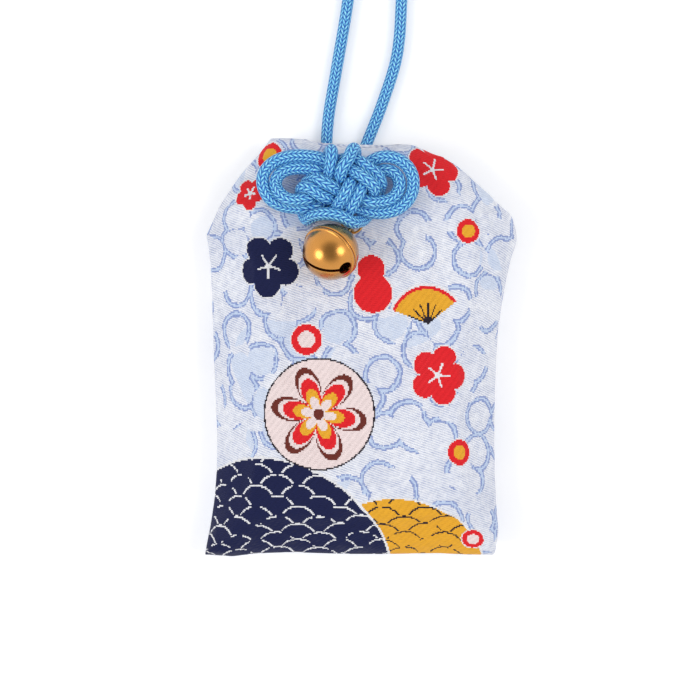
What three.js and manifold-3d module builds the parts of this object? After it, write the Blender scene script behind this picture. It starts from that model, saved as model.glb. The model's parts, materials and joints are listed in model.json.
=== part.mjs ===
// An omamori charm lying on its back: a padded brocade pouch, a double ear knot tied in one braided
// cord, a small brass bell on a jump ring, and the cord's two strands with their end knot.
// Millimetres. X is right, Y points along the cord's loop, Z is up out of the front of the pouch.
import * as THREE from 'three';
import { mergeVertices } from 'three/addons/utils/BufferGeometryUtils.js';
import Module from 'manifold-3d';

const wasm = await Module();
wasm.setup();

// Pouch
const pouchWidth = 55.4;
const pouchLength = 75;
const waistShare = 0.875; // of the pouch's width that is left at the waist
const seamHeight = 4.7; // of the side seam above the surface
const frontCrown = 4.6; // of the front above the side seam
const brocade = 0.7;
const lining = 0.3;
const liningFit = 0.4; // clearance between a panel and its lining
const padding = 1.1;
const fit = 0.3; // clearance between two other layers that touch
const frontRoll = 8; // width over which the front rounds down to its seam
const backRoll = 6;
const mouthLift = 2.45; // how far the back rises over the cord
const mouthLiftDrop = 12.5; // from the pouch's upper end down to where the back has risen
const mouthLiftRun = 15; // over which it rises
const tuckDepth = 13.5; // of the folded-in mouth
const tuckClearance = 2; // between the folded-in mouth and what ends below it

// Filling
const cardClearance = 7; // between the card's sides and the pouch's waist
const cardEndClearance = 6; // between the card and the pouch's lower end
const cardReach = 2; // of the card past the start of the back's rise
const cardThickness = 0.5;
const cardCorner = 2;
const cardMargin = 2; // of the card round the paper at the sides
const cardEndMargin = 1; // of the card round the paper at both ends
const paper = 0.3;
const paperMargin = 2; // of the paper round the slip
const tabletThickness = 1;
const tabletPeak = 5; // height of the slip's pointed head
const seamAllowance = 3.5; // kept free of lining and padding along the seams
const seamMargin = 1.6; // from the seam to the folded allowance inside
const seamCorner = 6; // left free between two folded allowances at a corner
const foldThickness = 0.6;

// Cord
const cordDiameter = 2.1;
const drawnDiameter = 1.7; // of the cord where the knot draws it tight
const cordSides = 8;
const drawnSides = 6;
const cordStep = 1.2; // between two rings of the tied knot's tube
const strandStep = 5;
const selfGap = 0.8; // space that the turns of the knot are pushed to
const routeUnit = 1; // length of one unit in the hand-chosen routes
const cordHoleWidth = 6.4;
const cordHoleHeight = 3.8;
const cordHoleX = -4.7;
const cordHoleDrop = 9.5; // below the pouch's upper end

// Knot
const knotX = -4.2;
const knotDrop = 8.5; // of the knot's middle below the pouch's upper end
const crossingHeight = 2.5; // between two crossing turns
const drawShare = 0.92; // of the route's height that is left when the knot is drawn tight
const endKnotRadius = 2.6;
const endKnotStepCount = 48;
const tailLength = 11;
const tailSpread = 1.8;
const tailSplay = 2;
const tailBendShare = 0.4; // of the splay is reached half way

// Bell
const shellSideCount = 28;
const wireSideCount = 8;
const arcStepCount = 8;
const bellRadius = 5;
const bellWall = 0.4;
const bellWallGap = 0.3; // between the two half shells
const bellSeamWidth = 0.6;
const bellSeamProud = 0.2;
const slitWidth = 0.6;
const slitHoleRadius = 1.2;
const slitAngle = 65; // degrees from the pole to each end hole
const bailWire = 0.7;
const bailRadius = 1.3;
const bailLeg = 0.5;
const bailPlay = 0.15;
const pelletRadius = 1.6; // wider than the slit's end holes
const ringWire = 0.5;
const ringRadius = 1.8;
const ringAside = 2.7; // from the knot's middle to the ring's
const ringDrop = 7.2; // below the knot's middle
const ringHeight = 2.5; // of the ring's middle above the front of the pouch
const ringAlongShares = [0.2, 0.9, 0.4]; // direction from the bell's eye across the ring
const bellAxisShares = [0.543, 0.556, -0.63]; // direction from the bell's middle to its eye
const slitNormalShares = [0.044, 0.731, 0.682]; // square to the plane of the bell's slit

// The pouch's outline as shares of its half width and half length, from the bottom left corner on
const outlineShares = [
  [-1.0, -0.985], [-0.97, -1.0], [-0.5, -0.99], [0, -1.0], [0.5, -0.995], [0.88, -1.0], [0.91, -0.985],
  [0.905, -0.93], [0.885, -0.75], [0.875, -0.45], [0.885, -0.1], [0.91, 0.15], [0.96, 0.35], [0.995, 0.52],
  [1.0, 0.56], [0.97, 0.62], [0.82, 0.74], [0.63, 0.86], [0.52, 0.915], [0.44, 0.935], [0.15, 0.955],
  [-0.2, 0.97], [-0.48, 0.998], [-0.56, 0.985], [-0.68, 0.87], [-0.84, 0.72], [-0.97, 0.6], [-1.0, 0.55],
  [-0.985, 0.45], [-0.97, 0.25], [-0.96, 0], [-0.945, -0.25], [-0.935, -0.5], [-0.955, -0.75],
  [-0.985, -0.92],
];

// Route of the tied cord, chosen by hand: x and y from the knot's middle, and the level it lies at.
const knotRoute = [
  [-1.7, -1, 0.2], [-1.5, 0.2, 0.9], [-1.1, 1.8, 1.6], [-1.1, 3.6, 2.2], [-1.1, 5.7, 2.2], [-1.2, 7, 1.2],
  [-1.5, 6.4, 0.2], [-2.6, 4.4, 0], [-3.8, 2, 0], [-4.1, -0.4, 0], [-5, -2.3, 0.5],
  [-6.4, -3.1, 1], [-8.4, -3, 1.1], [-9.9, -2, 1.1], [-10.6, 0, 1], [-9.7, 2.4, 1], [-7.2, 3.3, 1],
  [-4, 2.9, 0.9], [-1.1, 2.1, 0.4], [1.2, 2.2, 0.5], [2.9, 2.6, 1.5], [4.4, 2.5, 2.2],
  [6.1, 1.8, 2.2], [7.3, 0.4, 1.6], [7.6, -1.4, 0.6], [6.9, -3.2, 0], [5.4, -4.8, 0],
  [4.1, -6.5, 0], [2.8, -8, 0.1],
  [2, -8.3, 1.2], [2.2, -6.9, 2.2], [2.9, -4.5, 2.4], [3.8, -2.4, 2.4], [4.8, -0.8, 1.8], [5.9, 0.6, 0.8],
  [7.4, 2.8, 0.8], [9.1, 3.7, 1], [12, 0, 1], [9.8, -3.9, 1], [7, -4.1, 1],
  [5, -2.9, 1], [3.6, -2.1, 1], [2.2, -1.4, 1.1], [1, -0.8, 1.7], [-0.5, -0.2, 2.1], [-2.7, 0.9, 2.1],
  [-4.8, 1.6, 1.8], [-6.3, 1.5, 1.1], [-6.7, 0.3, 0.3], [-6.5, -1.2, 0], [-5.9, -3.4, 0], [-4.3, -5.3, 0],
  [-2, -6.2, 0], [-0.7, -5.8, 0.8], [-0.1, -4.6, 1.9], [1, -2.4, 2.4], [2.1, -0.2, 2], [3.8, 1.8, 0.9],
  [5.1, 4.3, 0.6], [7.3, 5.7, 1], [9.9, 5.8, 1], [13.1, 3.5, 1], [14.4, -0.2, 1],
  [13.1, -4, 1], [9.9, -6.3, 1], [6.6, -6.2, 1], [3.8, -4.3, 1], [1.1, -3.2, 1.3],
  [-1.4, -2.7, 2], [-3.7, -1.6, 2.1], [-6.1, -0.8, 1.9], [-7.9, -0.7, 1.2], [-8.7, -1.4, 0.4],
  [-8.5, -3.4, 0], [-7.5, -5.4, 0], [-6.3, -6.6, 0.6], [-4.8, -6.2, 1.6], [-2.7, -5.8, 2.4], [0.4, -5.8, 3],
  [3.2, -6.5, 3], [5.3, -7.6, 1.8], [7.4, -6.6, 0], [8.9, -4.4, 0], [9.9, -1.8, 0.1], [9.9, 0.2, 0.9],
  [9, 2, 1.7], [7.2, 3.5, 2.2], [5.2, 4.6, 2.3], [3.3, 4.7, 1.7], [1.1, 4, 0.9],
  [-1.2, 4.2, 0.8], [-3.9, 5.5, 1], [-7.3, 5.8, 1], [-10.7, 4.9, 1], [-13.1, 2.6, 1],
  [-13.5, -0.5, 1], [-11.7, -3.6, 1], [-8.6, -5.3, 1], [-5.4, -5.2, 0.9], [-2.7, -4.7, 0.5],
  [-0.2, -4.1, 0.1], [2, -3.4, 0], [3.3, -1.6, 0], [3.5, 1.6, 0], [3, 4.8, 0],
  [2.7, 6.9, 0.4], [2.5, 7.2, 1.4], [2.2, 5.6, 2.3], [1.6, 3.4, 2.4], [1.1, 1.5, 1.8],
  [0.8, 0, 1], [0.7, -1.2, 0.2],
];

// Routes of the two strands behind the pouch and up, chosen by hand: x, and y from the
// pouch's upper end
const behindLeft = [[-5.9, -4.5], [-5.9, -5.9], [-5.9, -7.3]];
const behindRight = [[-0.4, -4.5], [-1.2, -5.9], [-2.6, -7.3]];
const leftStrand = [
  [-5.9, -4.2], [-6.1, -1.5], [-5.8, 3.5], [-4.4, 12], [-2.3, 24.5], [-0.7, 38.5], [0.7, 54.5],
  [1.7, 69.5], [1.9, 81.1],
];
const rightStrand = [
  [-0.25, -4.2], [1.5, 0], [4.2, 7], [6.6, 15], [7.4, 24.5], [7.6, 38.5], [6.7, 54.5],
  [5.1, 69.5], [4.5, 81.1],
];

const cordRadius = cordDiameter / 2;
const drawnRadius = drawnDiameter / 2;
const halfWidth = pouchWidth / 2;
const halfLength = pouchLength / 2;
const mouthLiftEnd = halfLength - mouthLiftDrop;
const mouthLiftStart = mouthLiftEnd - mouthLiftRun;
const tuckBottom = halfLength - tuckDepth;
const cordHoleY = halfLength - cordHoleDrop;
const knotY = halfLength - knotDrop;
const frontTop = seamHeight + frontCrown;
const knotFloor = frontTop + fit + drawnRadius;

const group = new THREE.Group();

function addMesh(name, geometry, colour, roughness, metalness = 0, parent = group) {
  const material = new THREE.MeshStandardMaterial({ color: colour, roughness, metalness });
  const mesh = new THREE.Mesh(geometry, material);
  mesh.name = name;
  parent.add(mesh);
  return mesh;
}

function welded(geometry) {
  const clean = geometry.clone();
  clean.deleteAttribute('normal');
  clean.deleteAttribute('uv');
  return mergeVertices(clean);
}

function toSolid(geometry) {
  const merged = welded(geometry);
  const vertProperties = new Float32Array(merged.attributes.position.array);
  const triVerts = new Uint32Array(merged.index.array);
  return new wasm.Manifold(new wasm.Mesh({ numProp: 3, vertProperties, triVerts }));
}

function toGeometry(solid) {
  const mesh = solid.getMesh();
  const geometry = new THREE.BufferGeometry();
  geometry.setAttribute('position', new THREE.BufferAttribute(new Float32Array(mesh.vertProperties), 3));
  geometry.setIndex(new THREE.BufferAttribute(new Uint32Array(mesh.triVerts), 1));
  geometry.computeVertexNormals();
  return geometry;
}

function cut(geometry, ...tools) {
  let solid = toSolid(geometry);
  for (const tool of tools) {
    solid = solid.subtract(toSolid(tool));
  }
  return toGeometry(solid);
}

// The pouch's outline drawn in by an inset on every side, and cut off above a top if there is one
function pouchOutline(inset, points, top = Infinity) {
  const corners = outlineShares.map(
    ([x, y]) => new THREE.Vector3(x * (halfWidth - inset), y * (halfLength - inset), 0),
  );
  const curve = new THREE.CatmullRomCurve3(corners, true, 'centripetal');
  const outline = curve.getSpacedPoints(points).slice(0, points);
  return outline.map((p) => p.setY(Math.min(p.y, top)));
}

const edgeCount = 96;
const edge = pouchOutline(0, edgeCount);

function distanceToEdge(x, y) {
  let least = Infinity;
  for (let i = 0; i < edge.length; i++) {
    const a = edge[i];
    const b = edge[(i + 1) % edge.length];
    const dx = b.x - a.x;
    const dy = b.y - a.y;
    const along = THREE.MathUtils.clamp(((x - a.x) * dx + (y - a.y) * dy) / (dx * dx + dy * dy), 0, 1);
    least = Math.min(least, Math.hypot(x - a.x - along * dx, y - a.y - along * dy));
  }
  return least;
}

// How far the outside of the front (side 1) or back (side -1) stands out from the seam's plane
function bulge(x, y, side) {
  const roll = side > 0 ? frontRoll : backRoll;
  const crown = (side > 0 ? frontCrown : seamHeight) - fit / 2;
  const share = Math.min(distanceToEdge(x, y) / roll, 1);
  const round = crown * Math.sqrt(1 - (1 - share) ** 2);
  if (side > 0) {
    return round;
  }
  return round * (1 - mouthLift / crown * THREE.MathUtils.smoothstep(y, mouthLiftStart, mouthLiftEnd));
}

// A closed layer of cloth between two depths under the pouch's outside. A sewn layer meets the seam.
function layer(side, outerInset, innerInset, outerDepth, innerDepth, points, rings, sewn, top = Infinity) {
  const plane = seamHeight + side * fit / 2;
  const positions = [];
  const index = [];
  const starts = [[outerInset, outerDepth], [innerInset, innerDepth]].map(([inset, depth]) => {
    const outline = pouchOutline(inset, points, top);
    const first = positions.length / 3;
    for (let r = 0; r < rings; r++) {
      const reach = Math.cos((r / rings) * Math.PI / 2);
      for (const p of outline) {
        const height = sewn && r === 0 ? 0 : Math.max(bulge(p.x * reach, p.y * reach, side) - depth, 0);
        positions.push(p.x * reach, p.y * reach, plane + side * height);
      }
    }
    positions.push(0, 0, plane + side * (bulge(0, 0, side) - depth));
    return first;
  });
  const face = (outward, a, b, c) => (outward === side > 0 ? index.push(a, b, c) : index.push(a, c, b));
  starts.forEach((first, s) => {
    for (let r = 0; r < rings; r++) {
      for (let i = 0; i < points; i++) {
        const a = first + r * points + i;
        const b = first + r * points + (i + 1) % points;
        if (r === rings - 1) {
          face(s === 0, a, b, first + rings * points);
        } else {
          face(s === 0, a, b, b + points);
          face(s === 0, a, b + points, a + points);
        }
      }
    }
  });
  for (let i = 0; i < points; i++) {
    const next = (i + 1) % points;
    face(true, starts[0] + i, starts[1] + i, starts[1] + next);
    face(true, starts[0] + i, starts[1] + next, starts[0] + next);
  }
  const geometry = new THREE.BufferGeometry();
  geometry.setAttribute('position', new THREE.Float32BufferAttribute(positions, 3));
  geometry.setIndex(index);
  return welded(geometry);
}

function slab(shape, thickness, bottom) {
  const options = { depth: thickness, bevelEnabled: false, curveSegments: 5 };
  return new THREE.ExtrudeGeometry(shape, options).translate(0, 0, bottom);
}

function cordHole() {
  const shape = new THREE.Shape();
  shape.absellipse(cordHoleX, cordHoleY, cordHoleWidth / 2, cordHoleHeight / 2, 0, Math.PI * 2);
  return slab(shape, frontTop * 2, -frontTop / 2);
}

const outlineCount = 46;
const ringCount = 8;
const stripCount = 90;

function addLayers() {
  for (const [name, side] of [['front', 1], ['back', -1]]) {
    const panel = layer(side, 0, brocade, 0, brocade, outlineCount, ringCount, true);
    addMesh(`pouch_${name}`, cut(panel, cordHole()), 0xd4deec, 0.75);
    const liningDepth = brocade + liningFit;
    const backing = layer(side, seamAllowance, seamAllowance, liningDepth, liningDepth + lining,
      outlineCount, ringCount, false);
    addMesh(`lining_${name}`, cut(backing, cordHole()), 0xf2efe6, 0.9);
    const paddingDepth = liningDepth + lining + fit;
    const wadding = layer(side, seamAllowance, seamAllowance, paddingDepth, paddingDepth + padding,
      outlineCount, ringCount, false, tuckBottom - tuckClearance);
    addMesh(`padding_${name}`, wadding, 0xfafafa, 1);
  }
}

// The allowances folded inside the seams, as strips between two insets of the outline
function seamStrip(kept) {
  const outer = pouchOutline(seamMargin, stripCount).filter(kept);
  const inner = pouchOutline(seamAllowance - fit, stripCount).filter(kept).reverse();
  const corners = [...outer, ...inner].map((p) => new THREE.Vector2(p.x, p.y));
  return slab(new THREE.Shape(corners), foldThickness, seamHeight - foldThickness / 2);
}

function addSeams() {
  const bottomReach = pouchWidth * waistShare / 2 - seamCorner / 2;
  const beside = (p) => p.y > seamCorner - halfLength && p.y < tuckBottom - tuckClearance;
  addMesh('seam_bottom', seamStrip((p) => p.y < 0 && Math.abs(p.x) < bottomReach), 0xd4deec, 0.8);
  addMesh('seam_right', seamStrip((p) => p.x > 0 && beside(p)), 0xd4deec, 0.8);
  addMesh('seam_left', seamStrip((p) => p.x < 0 && beside(p)), 0xd4deec, 0.8);
  const shape = new THREE.Shape();
  pouchOutline(seamMargin, edgeCount).filter((p) => p.y > tuckBottom).forEach((p, i) => {
    if (i === 0) {
      shape.moveTo(p.x, tuckBottom);
    }
    shape.lineTo(p.x, p.y);
  });
  shape.lineTo(-shape.getPoints()[0].x, tuckBottom);
  shape.closePath();
  const tuck = slab(shape, foldThickness, seamHeight - foldThickness / 2);
  addMesh('mouth_tuck', cut(tuck, cordHole()), 0xd4deec, 0.8);
}

function roundedPlate(width, length, corner) {
  const shape = new THREE.Shape();
  const x = width / 2;
  const y = length / 2;
  shape.moveTo(-x + corner, -y);
  shape.lineTo(x - corner, -y);
  shape.absarc(x - corner, -y + corner, corner, -Math.PI / 2, 0);
  shape.absarc(x - corner, y - corner, corner, 0, Math.PI / 2);
  shape.absarc(-x + corner, y - corner, corner, Math.PI / 2, Math.PI);
  shape.absarc(-x + corner, -y + corner, corner, Math.PI, Math.PI * 1.5);
  return shape;
}

// The wooden slip has a pointed head, as a votive tablet does
function tabletShape(width, length) {
  const shape = new THREE.Shape();
  const x = width / 2;
  const y = length / 2;
  shape.moveTo(-x, -y);
  shape.lineTo(x, -y);
  shape.lineTo(x, y - tabletPeak);
  shape.lineTo(0, y);
  shape.lineTo(-x, y - tabletPeak);
  shape.closePath();
  return shape;
}

// From the back: a leaf of paper, the slip, the other leaf and the card
function addFilling() {
  const top = mouthLiftStart + cardReach;
  const end = cardEndClearance - halfLength;
  const cardWidth = pouchWidth * waistShare - cardClearance * 2;
  const paperWidth = cardWidth - cardMargin * 2;
  const paperLength = top - end - cardEndMargin * 2;
  let bottom = brocade + liningFit + lining + fit + padding + fit;
  const place = (name, shape, thickness, colour) => {
    addMesh(name, slab(shape, thickness, bottom).translate(0, (top + end) / 2, 0), colour, 0.85);
    bottom += thickness + fit;
  };
  const leaf = roundedPlate(paperWidth, paperLength, cardCorner);
  const slip = tabletShape(paperWidth - paperMargin * 2, paperLength - paperMargin * 2);
  place('paper_wrap_back', leaf, paper, 0xfbf8ef);
  place('charm_tablet', slip, tabletThickness, 0xd8b98a);
  place('paper_wrap_front', leaf, paper, 0xfbf8ef);
  place('stiffener_card', roundedPlate(cardWidth, top - end, cardCorner), cardThickness, 0xe8e2d2);
}

// A cord's tube along a curve, with flat ends
function tube(curve, steps, diameter, sides) {
  const section = new THREE.Shape();
  for (let i = 0; i < sides; i++) {
    const angle = (i / sides) * Math.PI * 2;
    const x = Math.cos(angle) * diameter / 2;
    const y = Math.sin(angle) * diameter / 2;
    if (i === 0) {
      section.moveTo(x, y);
    } else {
      section.lineTo(x, y);
    }
  }
  section.closePath();
  return new THREE.ExtrudeGeometry(section, { steps, extrudePath: curve, bevelEnabled: false });
}

const turnsApartShare = 1.6; // two points of a cord further apart than this many gaps are two turns
const easingRounds = 600;
const pushPasses = 6;
const smoothRoundsShare = 0.85; // of the rounds also smooth the cord, and the rest only push
const smoothShare = 0.15;
const anchorShare = 0.015;
const pushShare = 0.4;
const fixedShare = 1.25; // of the front's height is left as it is at both ends of the knot

// Pushes the turns of the knot apart until they keep their gap, while it stays smooth and near its route
function easedApart(points, fixed) {
  const hand = points.map((p) => p.clone());
  const near = drawnDiameter + selfGap;
  const apart = Math.ceil(near * turnsApartShare / cordStep);
  const last = points.length - fixed;
  for (let round = 0; round < easingRounds; round++) {
    for (let i = fixed; i < last && round < easingRounds * smoothRoundsShare; i++) {
      const middle = points[i - 1].clone().add(points[i + 1]).multiplyScalar(0.5);
      points[i].lerp(middle, smoothShare);
      points[i].lerp(hand[i], anchorShare);
    }
    for (let pass = 0; pass < pushPasses; pass++) {
      for (let i = 0; i < points.length; i++) {
        for (let j = i + apart; j < points.length; j++) {
          const gap = points[i].distanceTo(points[j]);
          if (gap < near) {
            const push = points[i].clone().sub(points[j]).multiplyScalar((near - gap) * pushShare / gap);
            if (i >= fixed) {
              points[i].add(push);
            }
            if (j < last) {
              points[j].sub(push);
            }
          }
        }
      }
    }
    for (let i = fixed; i < last; i++) {
      points[i].z = Math.max(points[i].z, Math.min(hand[i].z, knotFloor));
    }
  }
  return points;
}

function leastSelfGap(points, spacing) {
  const apart = Math.ceil((drawnDiameter + selfGap) * turnsApartShare / spacing);
  let least = Infinity;
  for (let i = 0; i < points.length; i++) {
    for (let j = i + apart; j < points.length; j++) {
      least = Math.min(least, points[i].distanceTo(points[j]) - drawnDiameter);
    }
  }
  return least;
}

function onSurface(route) {
  return route.map(([x, y]) => new THREE.Vector3(x * routeUnit, halfLength + y * routeUnit, cordRadius));
}

// The tied cord: up through the pouch's hole, round the knot, and down through the hole again
function knotCurve() {
  const through = (x) => [seamHeight / 2, frontTop].map((z) => new THREE.Vector3(x, cordHoleY, z));
  const tied = knotRoute.map(
    ([x, y, level]) => new THREE.Vector3(knotX + x * routeUnit, knotY + y * routeUnit * drawShare,
      knotFloor + level * crossingHeight),
  );
  const apart = drawnDiameter / 2 + fit;
  const rough = [
    ...onSurface(behindLeft), ...through(cordHoleX - apart), ...tied,
    ...through(cordHoleX + apart).reverse(), ...onSurface(behindRight).reverse(),
  ];
  const first = new THREE.CatmullRomCurve3(rough, false, 'centripetal');
  const count = Math.round(first.getLength() / cordStep);
  const fixed = Math.round(frontTop * fixedShare / cordStep);
  const points = easedApart(first.getSpacedPoints(count), fixed);
  return [new THREE.CatmullRomCurve3(points, false, 'centripetal'), count];
}

function addKnot() {
  const [curve, count] = knotCurve();
  const fine = curve.getSpacedPoints(count * 3);
  const least = leastSelfGap(fine, cordStep / 3);
  console.log(`front knot: ${curve.getLength().toFixed(1)} mm of cord, least gap ${least.toFixed(2)} mm`);
  addMesh('front_knot', tube(curve, count, drawnDiameter, drawnSides), 0x4ba5e1, 0.55);
}

function addCord(name, points) {
  const curve = new THREE.CatmullRomCurve3(points, false, 'centripetal');
  const steps = Math.ceil(curve.getLength() / strandStep);
  addMesh(name, tube(curve, steps, cordDiameter, cordSides), 0x4ba5e1, 0.55);
  console.log(`${name}: ${curve.getLength().toFixed(1)} mm of cord`);
}

// The overhand knot that ties the two strands, with the cord's two sealed ends under it
function addEndKnot() {
  const left = onSurface(leftStrand).at(-1);
  const right = onSurface(rightStrand).at(-1);
  const middle = (left.x + right.x) / 2;
  const turns = new THREE.TorusKnotGeometry(endKnotRadius, cordRadius, endKnotStepCount, cordSides, 2, 3);
  const knot = welded(turns);
  knot.computeBoundingBox();
  const { min, max } = knot.boundingBox;
  knot.translate(middle, left.y + fit - min.y, -min.z);
  addMesh('end_knot', knot, 0x4ba5e1, 0.55);
  const tailStart = left.y + fit * 2 + max.y - min.y;
  for (const [name, side] of [['tail_left', -1], ['tail_right', 1]]) {
    const at = (splayShare, lengthShare) => new THREE.Vector3(
      middle + side * (tailSpread + tailSplay * splayShare), tailStart + tailLength * lengthShare, cordRadius,
    );
    addCord(name, [at(0, 0), at(tailBendShare, 0.5), at(1, 1)]);
  }
}

// A solid turned about Z from a closed profile of radius and height
function turned(profile, segmentCount) {
  const points = profile.map(([radius, height]) => new THREE.Vector2(radius, height));
  return welded(new THREE.LatheGeometry(points, segmentCount).rotateX(Math.PI / 2));
}

function arc(radius, from, to, steps) {
  return Array.from({ length: steps + 1 }, (_, i) => {
    const angle = THREE.MathUtils.degToRad(from + (to - from) * i / steps);
    return [Math.abs(Math.cos(angle)) < 1e-9 ? 0 : radius * Math.cos(angle), radius * Math.sin(angle)];
  });
}

// Half of the bell: its wall, and the rim that is pressed on the other half
function halfShell() {
  const rimTop = bellWallGap / 2 + bellSeamWidth;
  const outer = bellRadius;
  const inner = bellRadius - bellWall;
  const outerStart = THREE.MathUtils.radToDeg(Math.asin(rimTop / outer));
  const innerStart = THREE.MathUtils.radToDeg(Math.asin(bellWallGap / 2 / inner));
  return turned([
    ...arc(inner, 90, innerStart, arcStepCount),
    [outer + bellSeamProud, bellWallGap / 2], [outer + bellSeamProud, rimTop],
    ...arc(outer, outerStart, 90, arcStepCount),
  ], shellSideCount);
}

function slitCutters() {
  const angle = THREE.MathUtils.degToRad(slitAngle);
  const overrun = bellWall * 2;
  const depth = bellRadius * (1 - Math.cos(angle)) + overrun;
  const slot = new THREE.BoxGeometry(bellRadius * Math.sin(angle) * 2, slitWidth, depth)
    .translate(0, 0, -bellRadius - overrun + depth / 2);
  const drill = [slitHoleRadius, slitHoleRadius, overrun * 2, shellSideCount / 2];
  const hole = () => new THREE.CylinderGeometry(...drill);
  const holes = [-1, 1].map(
    (side) => hole().translate(0, -bellRadius, 0).rotateX(Math.PI / 2).rotateY(-side * angle),
  );
  return [slot, ...holes];
}

// The wire eye on the bell's crown
function bailLoop() {
  const foot = bellRadius + fit;
  const turnHeight = foot + bailLeg;
  const points = [new THREE.Vector3(0, -bailRadius, foot)];
  for (let i = 0; i <= arcStepCount; i++) {
    const angle = Math.PI * i / arcStepCount;
    const height = turnHeight + bailRadius * Math.sin(angle);
    points.push(new THREE.Vector3(0, -bailRadius * Math.cos(angle), height));
  }
  points.push(new THREE.Vector3(0, bailRadius, foot));
  const curve = new THREE.CatmullRomCurve3(points, false, 'centripetal');
  return tube(curve, arcStepCount * 2, bailWire, wireSideCount);
}

const bellAxis = new THREE.Vector3(...bellAxisShares).normalize();
const slitNormal = new THREE.Vector3(...slitNormalShares).normalize();
const ringAlong = new THREE.Vector3(...ringAlongShares).normalize();

// The ring lies round a turn of the knot, and the bell's eye hangs in its near end
function addBell() {
  const ringAcross = new THREE.Vector3(ringAlong.y, -ringAlong.x, 0).normalize();
  const ringNormal = ringAlong.clone().cross(ringAcross);
  const ringMiddle = new THREE.Vector3(knotX + ringAside, knotY - ringDrop, frontTop + ringHeight);
  const ring = new THREE.TorusGeometry(ringRadius, ringWire / 2, wireSideCount, shellSideCount);
  const ringSide = ringNormal.clone().cross(ringAlong);
  ring.applyMatrix4(new THREE.Matrix4().makeBasis(ringAlong, ringSide, ringNormal));
  addMesh('jump_ring', welded(ring.translate(...ringMiddle.toArray())), 0xc9a25a, 0.3, 1);

  const eyeReach = bellRadius + fit + bailLeg + bailRadius - (bailWire + ringWire) / 2 - bailPlay;
  const bell = new THREE.Group();
  bell.position.copy(ringMiddle).addScaledVector(ringAlong, -ringRadius);
  bell.position.addScaledVector(bellAxis, -eyeReach);
  const y = slitNormal.clone().addScaledVector(bellAxis, -slitNormal.dot(bellAxis)).normalize();
  const x = y.clone().cross(bellAxis);
  bell.quaternion.setFromRotationMatrix(new THREE.Matrix4().makeBasis(x, y, bellAxis));
  group.add(bell);
  addMesh('bell_crown', halfShell(), 0xc8953a, 0.22, 1, bell);
  addMesh('bell_jaw', cut(halfShell().rotateX(Math.PI), ...slitCutters()), 0xc8953a, 0.22, 1, bell);
  const bail = addMesh('bell_bail', bailLoop(), 0xc9a25a, 0.3, 1, bell);
  const across = ringAcross.clone().applyQuaternion(bell.quaternion.clone().invert());
  bail.rotation.z = Math.atan2(across.y, across.x);
  const pelletDrop = bellRadius - bellWall - pelletRadius - fit;
  const ball = welded(new THREE.IcosahedronGeometry(pelletRadius, 2));
  const pellet = addMesh('bell_pellet', ball, 0x6f6f72, 0.5, 1);
  pellet.position.copy(bell.position).setZ(bell.position.z - pelletDrop);
}

addLayers();
addSeams();
addFilling();
addKnot();
addCord('cord_left', onSurface(leftStrand));
addCord('cord_right', onSurface(rightStrand));
addEndKnot();
addBell();

export default group;
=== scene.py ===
"""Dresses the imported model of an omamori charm: brocade pouch, braided cord and knot, brass bell.

The charm lies on its back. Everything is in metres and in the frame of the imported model: X is right,
Y points along the cord's loop, and Z is up out of the front of the pouch.
"""

import json
import logging
import math
from dataclasses import dataclass
from enum import Enum
from typing import Callable, Sequence

import bmesh
import bpy
import numpy as np
from mathutils import Matrix, Vector, noise

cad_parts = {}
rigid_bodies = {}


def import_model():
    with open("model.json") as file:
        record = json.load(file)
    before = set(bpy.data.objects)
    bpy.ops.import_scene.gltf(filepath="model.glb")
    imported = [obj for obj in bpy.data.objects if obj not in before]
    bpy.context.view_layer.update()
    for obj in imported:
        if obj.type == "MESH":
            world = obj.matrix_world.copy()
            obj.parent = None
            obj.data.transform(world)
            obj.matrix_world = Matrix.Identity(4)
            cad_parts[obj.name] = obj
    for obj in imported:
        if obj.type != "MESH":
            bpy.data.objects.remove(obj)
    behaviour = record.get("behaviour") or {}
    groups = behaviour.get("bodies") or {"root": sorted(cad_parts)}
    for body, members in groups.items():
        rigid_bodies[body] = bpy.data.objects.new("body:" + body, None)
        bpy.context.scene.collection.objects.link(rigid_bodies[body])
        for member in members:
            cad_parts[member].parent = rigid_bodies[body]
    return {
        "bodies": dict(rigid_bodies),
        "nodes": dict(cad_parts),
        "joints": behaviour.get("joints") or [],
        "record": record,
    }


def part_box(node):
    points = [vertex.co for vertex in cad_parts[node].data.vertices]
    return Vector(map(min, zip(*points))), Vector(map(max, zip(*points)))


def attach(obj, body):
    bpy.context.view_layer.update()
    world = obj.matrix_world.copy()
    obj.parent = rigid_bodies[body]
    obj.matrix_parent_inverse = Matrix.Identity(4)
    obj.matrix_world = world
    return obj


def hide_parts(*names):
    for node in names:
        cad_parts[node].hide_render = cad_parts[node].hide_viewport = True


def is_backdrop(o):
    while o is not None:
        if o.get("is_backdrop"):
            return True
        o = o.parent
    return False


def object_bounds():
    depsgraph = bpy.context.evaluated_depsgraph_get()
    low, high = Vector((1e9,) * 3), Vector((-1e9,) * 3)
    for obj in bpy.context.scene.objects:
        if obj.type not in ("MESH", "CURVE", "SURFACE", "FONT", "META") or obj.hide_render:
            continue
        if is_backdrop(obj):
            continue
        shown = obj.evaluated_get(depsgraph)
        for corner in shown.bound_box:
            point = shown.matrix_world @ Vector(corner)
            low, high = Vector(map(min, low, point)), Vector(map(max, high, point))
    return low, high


LOG = logging.getLogger("omamori")
MM = 0.001
TINY = 1e-9

# The photograph's frame
PHOTO_PIXELS = 700
PIXEL = 0.179 * MM
ORIGIN_PIXEL = (360.5, 346.5)

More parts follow.
